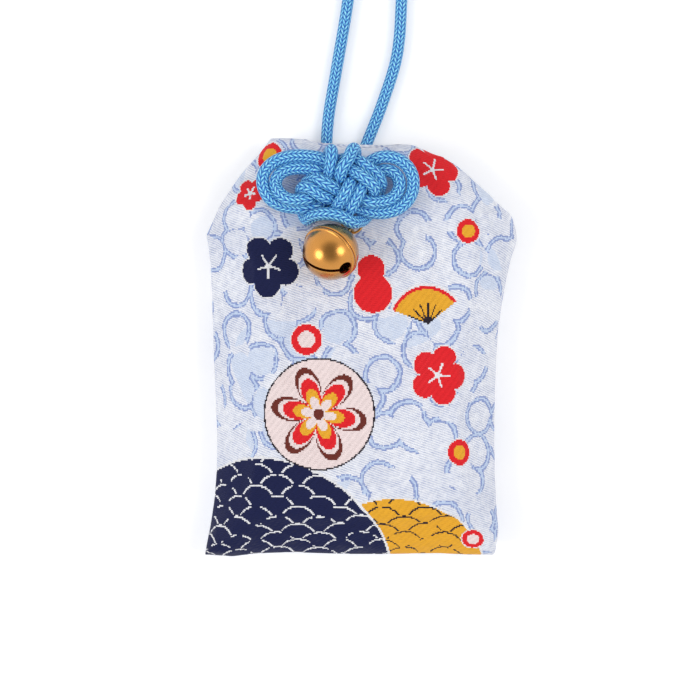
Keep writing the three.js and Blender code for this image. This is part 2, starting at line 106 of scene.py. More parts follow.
# Cord, in millimetres as the part's source has them
CORD_DIAMETER = 2.1
KNOT_CORD_DIAMETER = 2.3
BRAID_PITCH = 0.85  # length of cord that one stitch of the braid takes
DOME = 0.45  # share of the cord's radius by which a domed end stands out
CORD_STEP = 0.4  # between two points of a strand's or tail's centreline
LEFT_STRAND = (
    (-5.9, 33.3), (-6.1, 36), (-5.8, 41), (-4.4, 49.5), (-2.3, 62), (-0.7, 76), (0.7, 92), (1.7, 107),
    (1.9, 118.6), (1.95, 119.6),
)
RIGHT_STRAND = (
    (-0.25, 33.3), (1.5, 37.5), (4.2, 44.5), (6.6, 52.5), (7.4, 62), (7.6, 76), (6.7, 92), (5.1, 107),
    (4.5, 118.6), (4.45, 119.6),
)
BEHIND_LEFT = ((-5.9, 33), (-5.9, 31.6), (-5.9, 30.2))
BEHIND_RIGHT = ((-0.4, 33), (-1.2, 31.6), (-2.6, 30.2))
CORD_HOLE = (-4.7, 28)
KNOT_MIDDLE = (-4.2, 29)
KNOT_STRETCH = (1.04, 0.8)  # of the listed route, across and along
LEVEL_RISE = 2.1  # height of one level of the route, where a turn lies on another
KNOT_STEP = 0.8  # between two points of the eased route
KNOT_ROUTE = (
    (-1.7, -1, 0.2), (-1.5, 0.2, 0.9), (-1.1, 1.8, 1.6), (-1, 3.4, 2.2), (-1, 5, 2.2), (-1.1, 6.3, 1.2),
    (-1.4, 5.6, 0.2), (-2, 3.8, 0), (-2.5, 1.8, 0), (-2.8, -0.2, 0), (-3.8, -2, 0.5), (-5.4, -3.7, 1.4),
    (-7.4, -4.6, 1.9), (-9.8, -3.6, 1.5), (-11.1, -0.4, 1), (-10.2, 2.4, 1), (-7.6, 3.5, 1),
    (-4, 3.1, 0.9), (-1.1, 2.2, 0.4), (1.2, 2.3, 0.5), (2.8, 2.6, 1.6), (3.8, 2.1, 2.5), (4.5, 1.1, 2.8),
    (4.8, -0.2, 2.5), (4.9, -1.6, 1.2), (4.7, -3.2, 0.2), (4.4, -4.9, 0), (3.7, -6.5, 0),
    (2.8, -7.9, 0.1), (2, -8.2, 1.2), (2.2, -6.8, 2.2), (2.9, -4.5, 2.4), (3.7, -2.4, 2.2),
    (4.3, -1, 1.5), (5, 0.2, 0.9), (6.2, 1.8, 0.8), (7.6, 3.2, 0.9), (9.4, 3.4, 1), (11.3, 0.2, 1),
    (9.6, -4.2, 1.2), (7, -4.8, 1.2), (5, -3.3, 1), (3.6, -2.5, 1), (2.2, -2.1, 1.1), (0.7, -1.5, 1.7),
    (-0.9, -0.4, 2.1), (-2.4, 0.9, 2.2), (-3.5, 1.4, 1.9), (-4.4, 1.1, 1.2), (-4.8, 0.1, 0.4),
    (-4.8, -1.5, 0), (-4.4, -3.5, 0), (-3.4, -5.2, 0), (-1.8, -6.1, 0), (-0.7, -5.8, 0.8),
    (-0.1, -4.6, 1.9), (1, -2.4, 2.4), (2.1, -0.2, 2), (3.8, 1.8, 0.9), (5.1, 4.5, 0.6), (7.3, 6.1, 1),
    (9.9, 6, 1), (12.6, 3.5, 1), (13.4, -0.2, 1), (12.4, -4.2, 1), (9.7, -6.5, 1), (6.6, -6.3, 1),
    (3.8, -4.7, 1), (1.1, -4, 1.2), (-1.2, -4, 2), (-3.2, -3.1, 2.2), (-4.2, -2.3, 2), (-5, -1.8, 1.4),
    (-5.6, -2.4, 0.5), (-5.8, -3.8, 0), (-5.8, -5.3, 0), (-5.6, -6.6, 0.4), (-4.7, -7.2, 1.4),
    (-3.3, -6.9, 2.4), (-1.1, -6.9, 2.9), (1, -7.3, 2.8), (2.3, -8, 1.9), (3.4, -8.2, 0.5),
    (4.6, -7.2, 0), (5.8, -5.2, 0), (6.4, -2.6, 0.1), (6.6, -0.4, 0.8), (6.3, 1.6, 1.6), (5.3, 3.1, 2.1),
    (4.1, 4, 1.9), (2.7, 4.1, 1.3), (1, 3.9, 0.8), (-1.2, 4.4, 0.8), (-3.9, 5.8, 1), (-7.3, 6.2, 1),
    (-10.5, 5.2, 1), (-12.7, 2.8, 1), (-13.1, -0.4, 1), (-11.5, -3.7, 1), (-8.6, -5.4, 1),
    (-5.4, -5.4, 0.9), (-2.7, -5, 0.5), (-0.2, -4.4, 0.1), (2, -3.6, 0), (3.3, -1.6, 0), (3.5, 1.6, 0),
    (3, 4.2, 0), (2.9, 5.4, 0.3), (2.7, 5.8, 1.4), (2.3, 4.8, 2.4), (1.7, 3.1, 2.5), (1.1, 1.5, 1.8),
    (0.8, 0, 1), (0.7, -1.2, 0.2),
)

# Cloth, in millimetres
CLOTH_COLUMNS = 72
CLOTH_ROWS = 96
CROWDING = 0.35  # how far the grid's lines crowd towards the edges, 0 for not at all
CLOTH_SQUARE = 100.0  # the square of cloth that the UV map covers
THREAD_ACROSS = 0.22
THREAD_ALONG = 0.27
SIMULATION_FRAMES = 14


def srgb(red: float, green: float, blue: float) -> tuple[float, float, float, float]:
    """Turns a colour written in 0 to 255 into the linear values that Blender's sockets take.

    Args:
        red: Red, 0 to 255.
        green: Green, 0 to 255.
        blue: Blue, 0 to 255.

    Returns:
        The linear colour, with an alpha of 1.
    """
    channels = [value / 255 for value in (red, green, blue)]
    linear = [c / 12.92 if c <= 0.04045 else ((c + 0.055) / 1.055) ** 2.4 for c in channels]
    return (*linear, 1.0)


def darker(colour: Sequence[float], share: float) -> tuple[float, ...]:
    """Returns a share of a colour's red, green and blue."""
    return (*(channel * share for channel in colour[:3]), 1.0)


class Dye(Enum):
    """The colours of the threads, the cord and the metal, and the cord's painted shade and painted glint."""

    GROUND = srgb(246, 247, 251)
    GROUND_DARK = srgb(166, 176, 206)
    CLOUD = srgb(138, 154, 202)
    CLOUD_PALE = srgb(192, 208, 234)
    NAVY = srgb(15, 24, 72)
    WHITE = srgb(244, 244, 248)
    RED = srgb(238, 30, 40)
    YELLOW = srgb(245, 178, 46)
    CREAM = srgb(250, 231, 230)
    BROWN = srgb(112, 44, 34)
    BLACK = srgb(34, 24, 38)
    CORD = srgb(14, 184, 255)
    # painted shade, for the gaps between the cord's stitches
    CORD_SHADE = srgb(0, 48, 176)
    # painted glint, for the tops of the cord's stitches
    CORD_GLINT = srgb(186, 250, 255)


def interpolated(points: Sequence[Vector], per_span: int = 8) -> list[Vector]:
    """Draws a centripetal Catmull-Rom curve through points, as the part's source does.

    Args:
        points: The points that the curve passes through.
        per_span: How many points to return for each span.

    Returns:
        The points of the curve, with both ends.
    """
    padded = [points[0] * 2 - points[1], *points, points[-1] * 2 - points[-2]]
    drawn = [points[0].copy()]
    for a, b, c, d in zip(padded, padded[1:], padded[2:], padded[3:]):
        t1 = (b - a).length ** 0.5
        t2 = t1 + (c - b).length ** 0.5
        t3 = t2 + (d - c).length ** 0.5
        for step in range(1, per_span + 1):
            t = t1 + (t2 - t1) * step / per_span
            ab = a * ((t1 - t) / t1) + b * (t / t1)
            bc = b * ((t2 - t) / (t2 - t1)) + c * ((t - t1) / (t2 - t1))
            cd = c * ((t3 - t) / (t3 - t2)) + d * ((t - t2) / (t3 - t2))
            abc = ab * ((t2 - t) / t2) + bc * (t / t2)
            bcd = bc * ((t3 - t) / (t3 - t1)) + cd * ((t - t1) / (t3 - t1))
            drawn.append(abc * ((t2 - t) / (t2 - t1)) + bcd * ((t - t1) / (t2 - t1)))
    return drawn


def evenly(points: Sequence[Vector], step: float) -> list[Vector]:
    """Places points at even steps along a line of points.

    Args:
        points: The line.
        step: The distance between two of the returned points.

    Returns:
        The evenly spaced points, from the line's start to its end.
    """
    lengths = [0.0]
    for a, b in zip(points, points[1:]):
        lengths.append(lengths[-1] + (b - a).length)
    count = max(2, round(lengths[-1] / step) + 1)
    table = np.array([tuple(p) for p in points])
    at = np.linspace(0, lengths[-1], count)
    columns = [np.interp(at, lengths, table[:, axis]) for axis in range(3)]
    return [Vector(p) for p in zip(*columns)]


def smooth_step(value: np.ndarray, low: float, high: float) -> np.ndarray:
    """Rises smoothly from 0 at low to 1 at high."""
    share = np.clip((value - low) / (high - low), 0, 1)
    return share * share * (3 - 2 * share)


def crowded(count: int) -> np.ndarray:
    """Returns count steps from 0 to 1 that lie a little closer together at both ends."""
    even = np.linspace(0, 1, count + 1)
    return (0.5 - 0.5 * np.cos(math.pi * even)) * CROWDING + even * (1 - CROWDING)


def border(grid: np.ndarray) -> np.ndarray:
    """Returns the outermost entries of a grid of rows and columns, in order round it."""
    return np.concatenate([grid[0, :-1], grid[:-1, -1], grid[-1, :0:-1], grid[:0:-1, 0]])


def mesh_places(data: bpy.types.Mesh) -> np.ndarray:
    """Returns the places of a mesh's vertices, one in each row."""
    places = np.empty(len(data.vertices) * 3)
    data.vertices.foreach_get("co", places)
    return places.reshape(-1, 3)


def scene_object(name: str, mesh: bmesh.types.BMesh) -> bpy.types.Object:
    """Makes an object of the scene from mesh code, which is used up."""
    data = bpy.data.meshes.new(name)
    mesh.to_mesh(data)
    mesh.free()
    obj = bpy.data.objects.new(name, data)
    bpy.context.scene.collection.objects.link(obj)
    return obj


def math_sign(operation: str, reflected: bool = False) -> Callable[["Value", object], "Value"]:
    """Returns the method behind one of Python's signs, which adds a Math node.

    Args:
        operation: The Math node's operation.
        reflected: Whether the other operand comes first.

    Returns:
        The method.
    """

    def method(self: "Value", other: object) -> "Value":
        """Joins the value and another by the node."""
        return self.nodes.math(operation, *((other, self) if reflected else (self, other)))

    return method


class Value:
    """What a shader node gives. Python's signs work on it, and a comparison is 1 where it holds."""

    __add__ = __radd__ = math_sign("ADD")
    __sub__ = math_sign("SUBTRACT")
    __rsub__ = math_sign("SUBTRACT", reflected=True)
    __mul__ = __rmul__ = math_sign("MULTIPLY")
    __truediv__ = math_sign("DIVIDE")
    __pow__ = math_sign("POWER")
    __lt__ = math_sign("LESS_THAN")
    __gt__ = math_sign("GREATER_THAN")

    def __init__(self, nodes: "NodeTree", socket: bpy.types.NodeSocket) -> None:
        self.nodes = nodes
        self.socket = socket

    def __abs__(self) -> "Value":
        """Returns the value without its sign."""
        return self.nodes.math("ABSOLUTE", self)

    def clamped(self) -> "Value":
        """Keeps what the last Math node gives between 0 and 1."""
        self.socket.node.use_clamp = True
        return self


class NodeTree:
    """Short names for making and joining shader nodes."""

    def __init__(self, tree: bpy.types.NodeTree) -> None:
        self.tree = tree

    def put(self, value: object, socket: bpy.types.NodeSocket) -> None:
        """Links a value to an input, or sets the input to a number or colour."""
        if isinstance(value, Value):
            self.tree.links.new(value.socket, socket)
        else:
            socket.default_value = value.value if isinstance(value, Dye) else value

    def node(self, kind: str, *values: object, **named: object) -> bpy.types.Node:
        """Adds a node, and sets the properties and inputs that are named and its first inputs."""
        made = self.tree.nodes.new(f"ShaderNode{kind}")
        for name, value in named.items():
            if hasattr(made, name):
                setattr(made, name, value)
            else:
                self.put(value, made.inputs[name.replace("_", " ")])
        for value, socket in zip(values, made.inputs):
            self.put(value, socket)
        return made

    def value(self, kind: str, *values: object, output: int | str = 0, **named: object) -> Value:
        """Adds a node and returns one of its outputs."""
        return Value(self, self.node(kind, *values, **named).outputs[output])

    def math(self, operation: str, *values: object) -> Value:
        """Adds a Math node on one to three values."""
        return self.value("Math", *values, operation=operation)

    def length(self, x: Value, y: Value) -> Value:
        """Returns the length of a flat vector."""
        return self.math("SQRT", x * x + y * y)

    def vector(self, operation: str, *values: object, **named: object) -> Value:
        """Adds a Vector Math node on one to three values."""
        return self.value("VectorMath", *values, operation=operation, **named)

    def split(self, vector: Value) -> list[Value]:
        """Returns the X, Y and Z of a vector."""
        return [Value(self, socket) for socket in self.node("SeparateXYZ", vector).outputs]

    def join(self, x: object, y: object, z: object = 0.0) -> Value:
        """Makes a vector of two or three values."""
        return self.value("CombineXYZ", x, y, z)

    def mix(self, factor: Value, first: object, second: object) -> Value:
        """Mixes two colours."""
        made = self.node("Mix", factor, data_type="RGBA")
        self.put(first, made.inputs[6])
        self.put(second, made.inputs[7])
        return Value(self, made.outputs[2])

    def noise(self, vector: Value, scale: float, detail: float = 2.0) -> Value:
        """Returns the value of a Noise Texture."""
        return self.value("TexNoise", Vector=vector, Scale=scale, Detail=detail)

    def coordinates(self, kind: str) -> Value:
        """Returns the coordinates of the kind named, such as UV or Object."""
        return self.value("TexCoord", output=kind)

    def bump(self, height: Value, distance: float, strength: float = 1.0) -> Value:
        """Returns the normal that a height in units of distance gives."""
        return self.value("Bump", Strength=strength, Distance=distance, Height=height)


class Finish(NodeTree):
    """A material with one Principled shader."""

    def __init__(self, name: str, **values: object) -> None:
        self.material = bpy.data.materials.new(name)
        self.material.use_nodes = True
        super().__init__(self.material.node_tree)
        self.shader = self.tree.nodes["Principled BSDF"]
        self.set(**values)

    def set(self, **values: object) -> None:
        """Sets or links the shader's inputs by name, with _ for a space."""
        for name, value in values.items():
            self.put(value, self.shader.inputs[name.replace("_", " ")])


def from_pixel(x: float, y: float) -> tuple[float, float]:
    """Returns the place that the photograph shows at a pixel, in millimetres from the pouch's middle."""
    scale = PIXEL / MM
    return (x - ORIGIN_PIXEL[0]) * scale, (ORIGIN_PIXEL[1] - y) * scale


@dataclass(frozen=True)
class Motif:
    """A round woven motif: its middle as a pixel of the photograph, and its radius in millimetres."""

    x: float
    y: float
    radius: float


class Brocade(Finish):
    """Woven brocade: a pale twill ground with cloud lines, and motifs in satin threads.

    The motifs are drawn on a grid of threads, so that their edges step as woven ones do.
    """

    BLOSSOMS = ((Motif(434, 168, 5.4), 0.2), (Motif(246, 194, 3.2), 0.5), (Motif(437, 376, 5.3), 0.1))
    NAVY_BLOSSOM = (Motif(268, 268, 5.6), 0.9)
    SUNS = (Motif(262, 152, 2.9), Motif(466, 234, 2.1), Motif(459, 452, 2.3))
    RINGS = (Motif(306, 341, 2.7), Motif(473, 543, 2.1))
    GOURD = (Motif(369, 272, 2.4), Motif(371, 296, 3.4))
    FAN = Motif(425, 326, 7.0)
    FAN_MIDDLE = math.pi / 2 + 0.15
    FAN_HALF = 1.05
    BALL = Motif(318, 414, 9.6)
    LEAVES = ((0.97, Dye.BROWN), (0.84, Dye.CREAM), (0.74, Dye.RED), (0.52, Dye.YELLOW), (0.36, Dye.CREAM))
    NAVY_HILL = Motif(258, 590, 23.5)
    YELLOW_HILL = Motif(392, 596, 17.5)
    WAVE_RADIUS = 3.75
    CLOUD_FILL = 0.49
    CLOUD_LINES = ((0.49, 0.05), (0.59, 0.045))  # middle and width, as shares of a lobe's size
    CLOUD_EDGE = (0.54, 0.12)

    def __init__(self, name: str, decorated: bool) -> None:
        super().__init__(name, Roughness=0.62, Sheen_Weight=0.04, Specular_IOR_Level=0.22)
        cloth = self.vector(
            "MULTIPLY_ADD", self.coordinates("UV"), (CLOTH_SQUARE,) * 3, (-CLOTH_SQUARE / 2,) * 3
        )
        x, y, _ = self.split(cloth)
        self.x = self.math("SNAP", x, THREAD_ACROSS)
        self.y = self.math("SNAP", y, THREAD_ALONG)
        self.twill = self.stripes(x, y, angle=-0.34, pitch=0.4)
        satin = self.stripes(x, y, angle=0.0, pitch=0.33)
        self.colour = self.ground()
        self.raised: Value | float = 0.0
        self.clouds()
        if decorated:
            self.draw_motifs()
        uneven = self.noise(self.join(x, y), 0.9, 4.0) * 0.14 + 0.95
        floats = self.noise(self.join(x * 1.2, y * 6.0), 1.0) * self.raised
        shade = (floats + self.raised) * -0.08 + uneven
        grain = self.noise(self.join(x * 0.3, y), 5.0)
        height = (self.twill + satin * self.raised) * 0.6 + grain * 0.5
        self.set(
            Base_Color=self.vector("SCALE", self.colour, Scale=shade), Normal=self.bump(height, 0.07 * MM)
        )

    def stripes(self, x: Value, y: Value, angle: float, pitch: float) -> Value:
        """Returns threads side by side at an angle, as a value from 0 to 1."""
        across = x * -math.sin(angle) + y * math.cos(angle)
        return self.math("SINE", across * (math.tau / pitch)) * 0.5 + 0.5

    def patches(self, layer: float, scale: float, detail: float = 0.0) -> Value:
        """Returns noise in steps of a thread, another one for each layer."""
        return self.noise(self.join(self.x, self.y, layer), scale, detail)

    def ground(self) -> Value:
        """Returns the colour of the ground, white threads over pale blue ones."""
        blue = (self.patches(0, 0.09, 1) * 1.6 - 0.55).clamped()
        worn = (self.patches(6, 0.8, 3) * 1.5 - 0.25).clamped()
        specks = (self.patches(2, 2.4, 1) * 1.6 - 0.6).clamped()
        dark = (self.twill * worn + (blue * 0.3 + specks * 0.35)).clamped()
        return self.mix(dark, Dye.GROUND, Dye.GROUND_DARK)

    def paint(self, mask: Value, dye: Dye, raised: bool = True) -> None:
        """Weaves a colour into the cloth where the mask is 1."""
        self.colour = self.mix(mask, self.colour, dye)
        if raised:
            self.raised = self.math("MAXIMUM", self.raised, mask)

    def discs(self, distance: Value, *steps: tuple[float, Dye]) -> None:
        """Weaves each colour where the distance is under its limit, one over the other."""
        for limit, dye in steps:
            self.paint(distance < limit, dye)

    def polar(self, motif: Motif) -> tuple[Value, Value]:
        """Returns the distance from a motif's middle and the angle round it, in steps of a thread."""
        middle_x, middle_y = from_pixel(motif.x, motif.y)
        x, y = self.x - middle_x, self.y - middle_y
        return self.length(x, y), self.math("ARCTAN2", y, x)

    def band(self, value: Value, middle: float, width: float) -> Value:
        """Returns 1 where a value lies within half a width of the middle."""
        return abs(value - middle) < width / 2

    def clouds(self) -> None:
        """Weaves lobed cloud lines: the outline of circles round scattered points."""
        grid = self.join(self.x, self.y)
        lobes = self.value("TexVoronoi", voronoi_dimensions="2D", Vector=grid, Scale=0.15, Randomness=0.9)
        reach = self.patches(7, 0.3, 1) * 0.16 + lobes
        gaps = self.patches(4, 0.2) > 0.41
        dashes = self.patches(0, 3.5) > 0.36
        filled = (reach < self.CLOUD_FILL) * (self.patches(5, 0.07) < 0.42)
        self.paint(filled * 0.55, Dye.CLOUD_PALE, raised=False)
        self.paint(self.band(reach, *self.CLOUD_EDGE) * gaps, Dye.CLOUD_PALE, raised=False)
        for middle, width in self.CLOUD_LINES:
            self.paint(self.band(reach, middle, width) * gaps * dashes, Dye.CLOUD, raised=False)

    def blossom(self, motif: Motif, turn: float, dye: Dye) -> None:
        """Weaves a plum blossom of five round petals."""
        distance, angle = self.polar(motif)
        petals = abs(self.math("COSINE", angle * 2.5 + turn)) ** 0.6
        beyond = distance - (petals * (motif.radius * 0.34) + motif.radius * 0.66)
        self.discs(beyond, (THREAD_ALONG, Dye.WHITE), (0.0, dye))
        stamens = abs(self.math("COSINE", angle * 2.5 + (turn + math.pi / 2))) * distance < 0.42
        self.paint(stamens * (distance < motif.radius * 0.42), Dye.WHITE)

    def rings(self, motif: Motif, middle: Dye) -> None:
        """Weaves a ring round a disc of another colour."""
        distance = self.polar(motif)[0]
        self.discs(distance, (motif.radius + THREAD_ACROSS, Dye.WHITE), (motif.radius, Dye.RED))
        self.discs(distance, (motif.radius * 0.56, middle))

    def waves(self, hill: Motif, ground: Dye, arcs: Dye) -> None:
        """Weaves a hill filled with rows of overlapping arcs."""
        distance = self.polar(hill)[0]
        self.discs(distance, (hill.radius + THREAD_ALONG * 1.5, Dye.WHITE), (hill.radius, ground))
        row = self.math("FLOOR", self.y / (self.WAVE_RADIUS / 2))
        front, back = (self.wave_reach(row - below) for below in (1.0, 0.0))
        in_front = front < self.WAVE_RADIUS
        lines = self.band(front * in_front + back * (1.0 - in_front), self.WAVE_RADIUS * 0.9, 0.3)
        self.paint(lines * (distance < hill.radius) * (self.patches(9, 0.45) > 0.4), arcs)

    def wave_reach(self, row: Value) -> Value:
        """Returns the distance to the nearest arc's middle in a row, where odd rows are shifted by half."""
        shifted = self.math("PINGPONG", row, 1.0) * self.WAVE_RADIUS + self.x
        across = self.math("PINGPONG", shifted, self.WAVE_RADIUS)
        return self.length(across, row * (-self.WAVE_RADIUS / 2) + self.y)

    def fan(self, motif: Motif) -> None:
        """Weaves an open folding fan with ribs."""
        distance, angle = self.polar(motif)
        opened = abs(angle - self.FAN_MIDDLE) < self.FAN_HALF
        leaf = opened * (distance < motif.radius)
        ribs = abs(self.math("SINE", angle * 8.0)) * distance < 1.1
        self.paint(leaf, Dye.YELLOW)
        self.paint(leaf * ribs * (distance < motif.radius * 0.55), Dye.BLACK)
        self.paint(leaf * self.band(distance, motif.radius * 0.93, 0.7), Dye.RED)
        self.paint(opened * self.band(distance, motif.radius, 0.5), Dye.WHITE)

    def ball(self, motif: Motif) -> None:
        """Weaves a ball wound with threads in leaf-shaped wedges."""
        distance, angle = self.polar(motif)
        self.discs(distance, (motif.radius + 0.3, Dye.BLACK), (motif.radius, Dye.CREAM))
        lobes = abs(self.math("COSINE", angle * 3.0 + 0.5)) ** 0.8
        leaves = ((motif.radius * size, dye) for size, dye in self.LEAVES)
        self.discs(distance / (lobes * 0.62 + 0.3), *leaves)
        self.discs(distance, (motif.radius * 0.1, Dye.BROWN))

    def draw_motifs(self) -> None:
        """Weaves all the motifs, from the lowest to the highest."""
        self.waves(self.YELLOW_HILL, Dye.YELLOW, Dye.BLACK)
        self.waves(self.NAVY_HILL, Dye.NAVY, Dye.WHITE)
        self.ball(self.BALL)
        self.fan(self.FAN)
        self.blossom(*self.NAVY_BLOSSOM, Dye.NAVY)
        gourd = self.math("MINIMUM", *(self.polar(part)[0] - part.radius for part in self.GOURD))
        self.discs(gourd, (THREAD_ACROSS, Dye.WHITE), (0.0, Dye.RED))
        for motif, turn in self.BLOSSOMS:
            self.blossom(motif, turn, Dye.RED)
        for motifs, middle in ((self.SUNS, Dye.YELLOW), (self.RINGS, Dye.CREAM)):
            for motif in motifs:
                self.rings(motif, middle)


class Braid(Finish):
    """Round braid: columns of slanting stitches, mirrored from one column to the next."""

    COLUMNS = 10.0
    LEAN = 1.15  # stitches that a column's slant runs along the cord
    STAGGER = 0.15

    def __init__(self) -> None:
        super().__init__("braid", Roughness=0.4, Sheen_Weight=0.02, Specular_IOR_Level=0.35)
        around, along, _ = self.split(self.coordinates("UV"))
        columns = around * self.COLUMNS
        within = self.math("FRACT", columns)
        odd = self.math("MODULO", self.math("FLOOR", columns), 2.0)
        lean = (odd * -2.0 + 1.0) * within * self.LEAN
        phase = self.math("FRACT", along + (lean + odd * self.STAGGER))
        height = self.arch(phase) ** 0.6 * self.arch(within) ** 0.35
        yarn = self.noise(self.join(around * 60.0, along * 3.0), 1.0)
        # painted shade: the colour darkens towards the gaps between the stitches
        colour = self.mix(height**1.6, Dye.CORD_SHADE, Dye.CORD)
        # painted glint: pale spots on the tops of the stitches, where the yarn noise is high
        glint = height**2.6 * (yarn * 5.0 - 1.75).clamped()
        self.set(
            Base_Color=self.mix(glint, colour, Dye.CORD_GLINT),
            Normal=self.bump(yarn * 0.12 + height, 0.13 * MM),
        )

    def arch(self, share: Value) -> Value:
        """Rises from 0 to 1 halfway and falls to 0 again."""
        return self.math("SINE", share * math.pi)


class Metal(Finish):
    """Polished brass, with faint haze and fine scratches."""

    def __init__(self, name: str, colour: Sequence[float], roughness: float) -> None:
        super().__init__(name, Metallic=1.0, Coat_Weight=1.0, Coat_Roughness=0.26)
        place = self.coordinates("Object")
        self.set(
            Base_Color=self.mix(self.noise(place, 260.0, 3.0), darker(colour, 0.72), colour),
            Roughness=self.noise(place, 900.0, 4.0) * 0.16 + (roughness - 0.08),
            Normal=self.bump(self.noise(place, 420.0, 1.0), 0.02 * MM, 0.5),
        )


class Plain(Finish):
    """A matt fibre, paper or wood: a colour with a streaked or even grain."""

    def __init__(self, name: str, colour: Sequence[float], grain: tuple[float, ...], depth: float) -> None:
        super().__init__(name, Roughness=0.85)
        streaks = self.noise(self.vector("MULTIPLY", self.coordinates("Object"), grain), 1.0, 5.0)
        self.set(Base_Color=self.mix(streaks, darker(colour, 0.8), colour), Normal=self.bump(streaks, depth))


class Piece:
    """A mesh object of the scene, made in mesh code and carried by a body."""

    def __init__(self, name: str, mesh: bmesh.types.BMesh, finish: Finish, body: str, slot: str) -> None:
        self.obj = scene_object(name, mesh)
        self.obj.data.materials.append(finish.material)
        self.obj.data.shade_smooth()
        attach(self.obj, body)

    def replaces(self, *nodes: str) -> "Piece":
        """Stands for CAD nodes, which are hidden."""
        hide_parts(*nodes)
        return self

    def settle(self) -> "Piece":
        """Applies the modifiers to the mesh."""
        graph = bpy.context.evaluated_depsgraph_get()
        data = bpy.data.meshes.new_from_object(self.obj.evaluated_get(graph))
        old = self.obj.data
        self.obj.modifiers.clear()
        self.obj.data = data
        data.name = self.obj.name
        bpy.data.meshes.remove(old)
        return self

    def refine(self, levels: int) -> "Piece":
        """Subdivides the mesh so that it is rounder, and applies its modifiers."""
        fine = self.obj.modifiers.new("fine", "SUBSURF")
        fine.levels = fine.render_levels = levels
        return self.settle()


def tube(
    points: Sequence[Vector], diameter: float, sides: int = 20, rounded: bool = False
) -> bmesh.types.BMesh:
    """Makes a closed tube along points, with a UV map that goes round it and along it.

    Args:
        points: The centreline, in metres.
        diameter: The tube's diameter, in millimetres.
        sides: How many points go round it.
        rounded: Whether the two ends are domed.

    Returns:
        The tube's mesh.
    """
    mesh = bmesh.new()
    uv = mesh.loops.layers.uv.new("UVMap")
    radius = diameter / 2 * MM
    tangents = [(b - a).normalized() for a, b in zip([points[0], *points], [*points[1:], points[-1]])]
    tangents[0] = (points[1] - points[0]).normalized()
    normal = tangents[0].orthogonal().normalized()
    angles = [math.tau * i / sides for i in range(sides)]
    rings: list[list[bmesh.types.BMVert]] = []
    along = [0.0]
    for index, (point, tangent) in enumerate(zip(points, tangents)):
        if index:
            turn = tangents[index - 1].rotation_difference(tangent)
            normal = (turn @ normal).normalized()
            along.append(along[-1] + (point - points[index - 1]).length / (BRAID_PITCH * MM))
        side = tangent.cross(normal)
        spokes = [(normal * math.cos(angle) + side * math.sin(angle)) * radius for angle in angles]
        rings.append([mesh.verts.new(point + spoke) for spoke in spokes])
    for low, high, start, end in zip(rings, rings[1:], along, along[1:]):
        for i in range(sides):
            j = (i + 1) % sides
            face = mesh.faces.new((low[i], low[j], high[j], high[i]))
            for loop, (step, v) in zip(face.loops, ((i, start), (i + 1, start), (i + 1, end), (i, end))):
                loop[uv].uv = (step / sides, v)
    dome = radius * DOME if rounded else 0.0
    for ring, tangent, start in ((rings[0], -tangents[0], 0.0), (rings[-1], tangents[-1], along[-1])):
        tip = mesh.verts.new(sum((v.co for v in ring), Vector()) / sides + tangent * dome)
        for i in range(sides):
            cap = mesh.faces.new((ring[i], ring[(i + 1) % sides], tip))
            for loop, (step, beyond) in zip(cap.loops, ((i, 0), (i + 1, 0), (i + 0.5, 1))):
                loop[uv].uv = (step / sides, start + beyond)
    bmesh.ops.recalc_face_normals(mesh, faces=mesh.faces)
    return mesh


class Camera:
    """The photograph's camera, straight above the charm."""

    HEIGHT = 0.62
    SUBJECT_HEIGHT = 0.006

    def __init__(self) -> None:
        data = bpy.data.cameras.new("camera")
        data.sensor_fit = "HORIZONTAL"
        data.lens = data.sensor_width * (self.HEIGHT - self.SUBJECT_HEIGHT) / (PHOTO_PIXELS * PIXEL)
        data.clip_start, data.clip_end = 0.01, 10.0
        obj = bpy.data.objects.new("camera", data)
        bpy.context.scene.collection.objects.link(obj)
        x, y = from_pixel(PHOTO_PIXELS / 2, PHOTO_PIXELS / 2)
        obj.location = (x * MM, y * MM, self.HEIGHT)
        bpy.context.scene.camera = obj


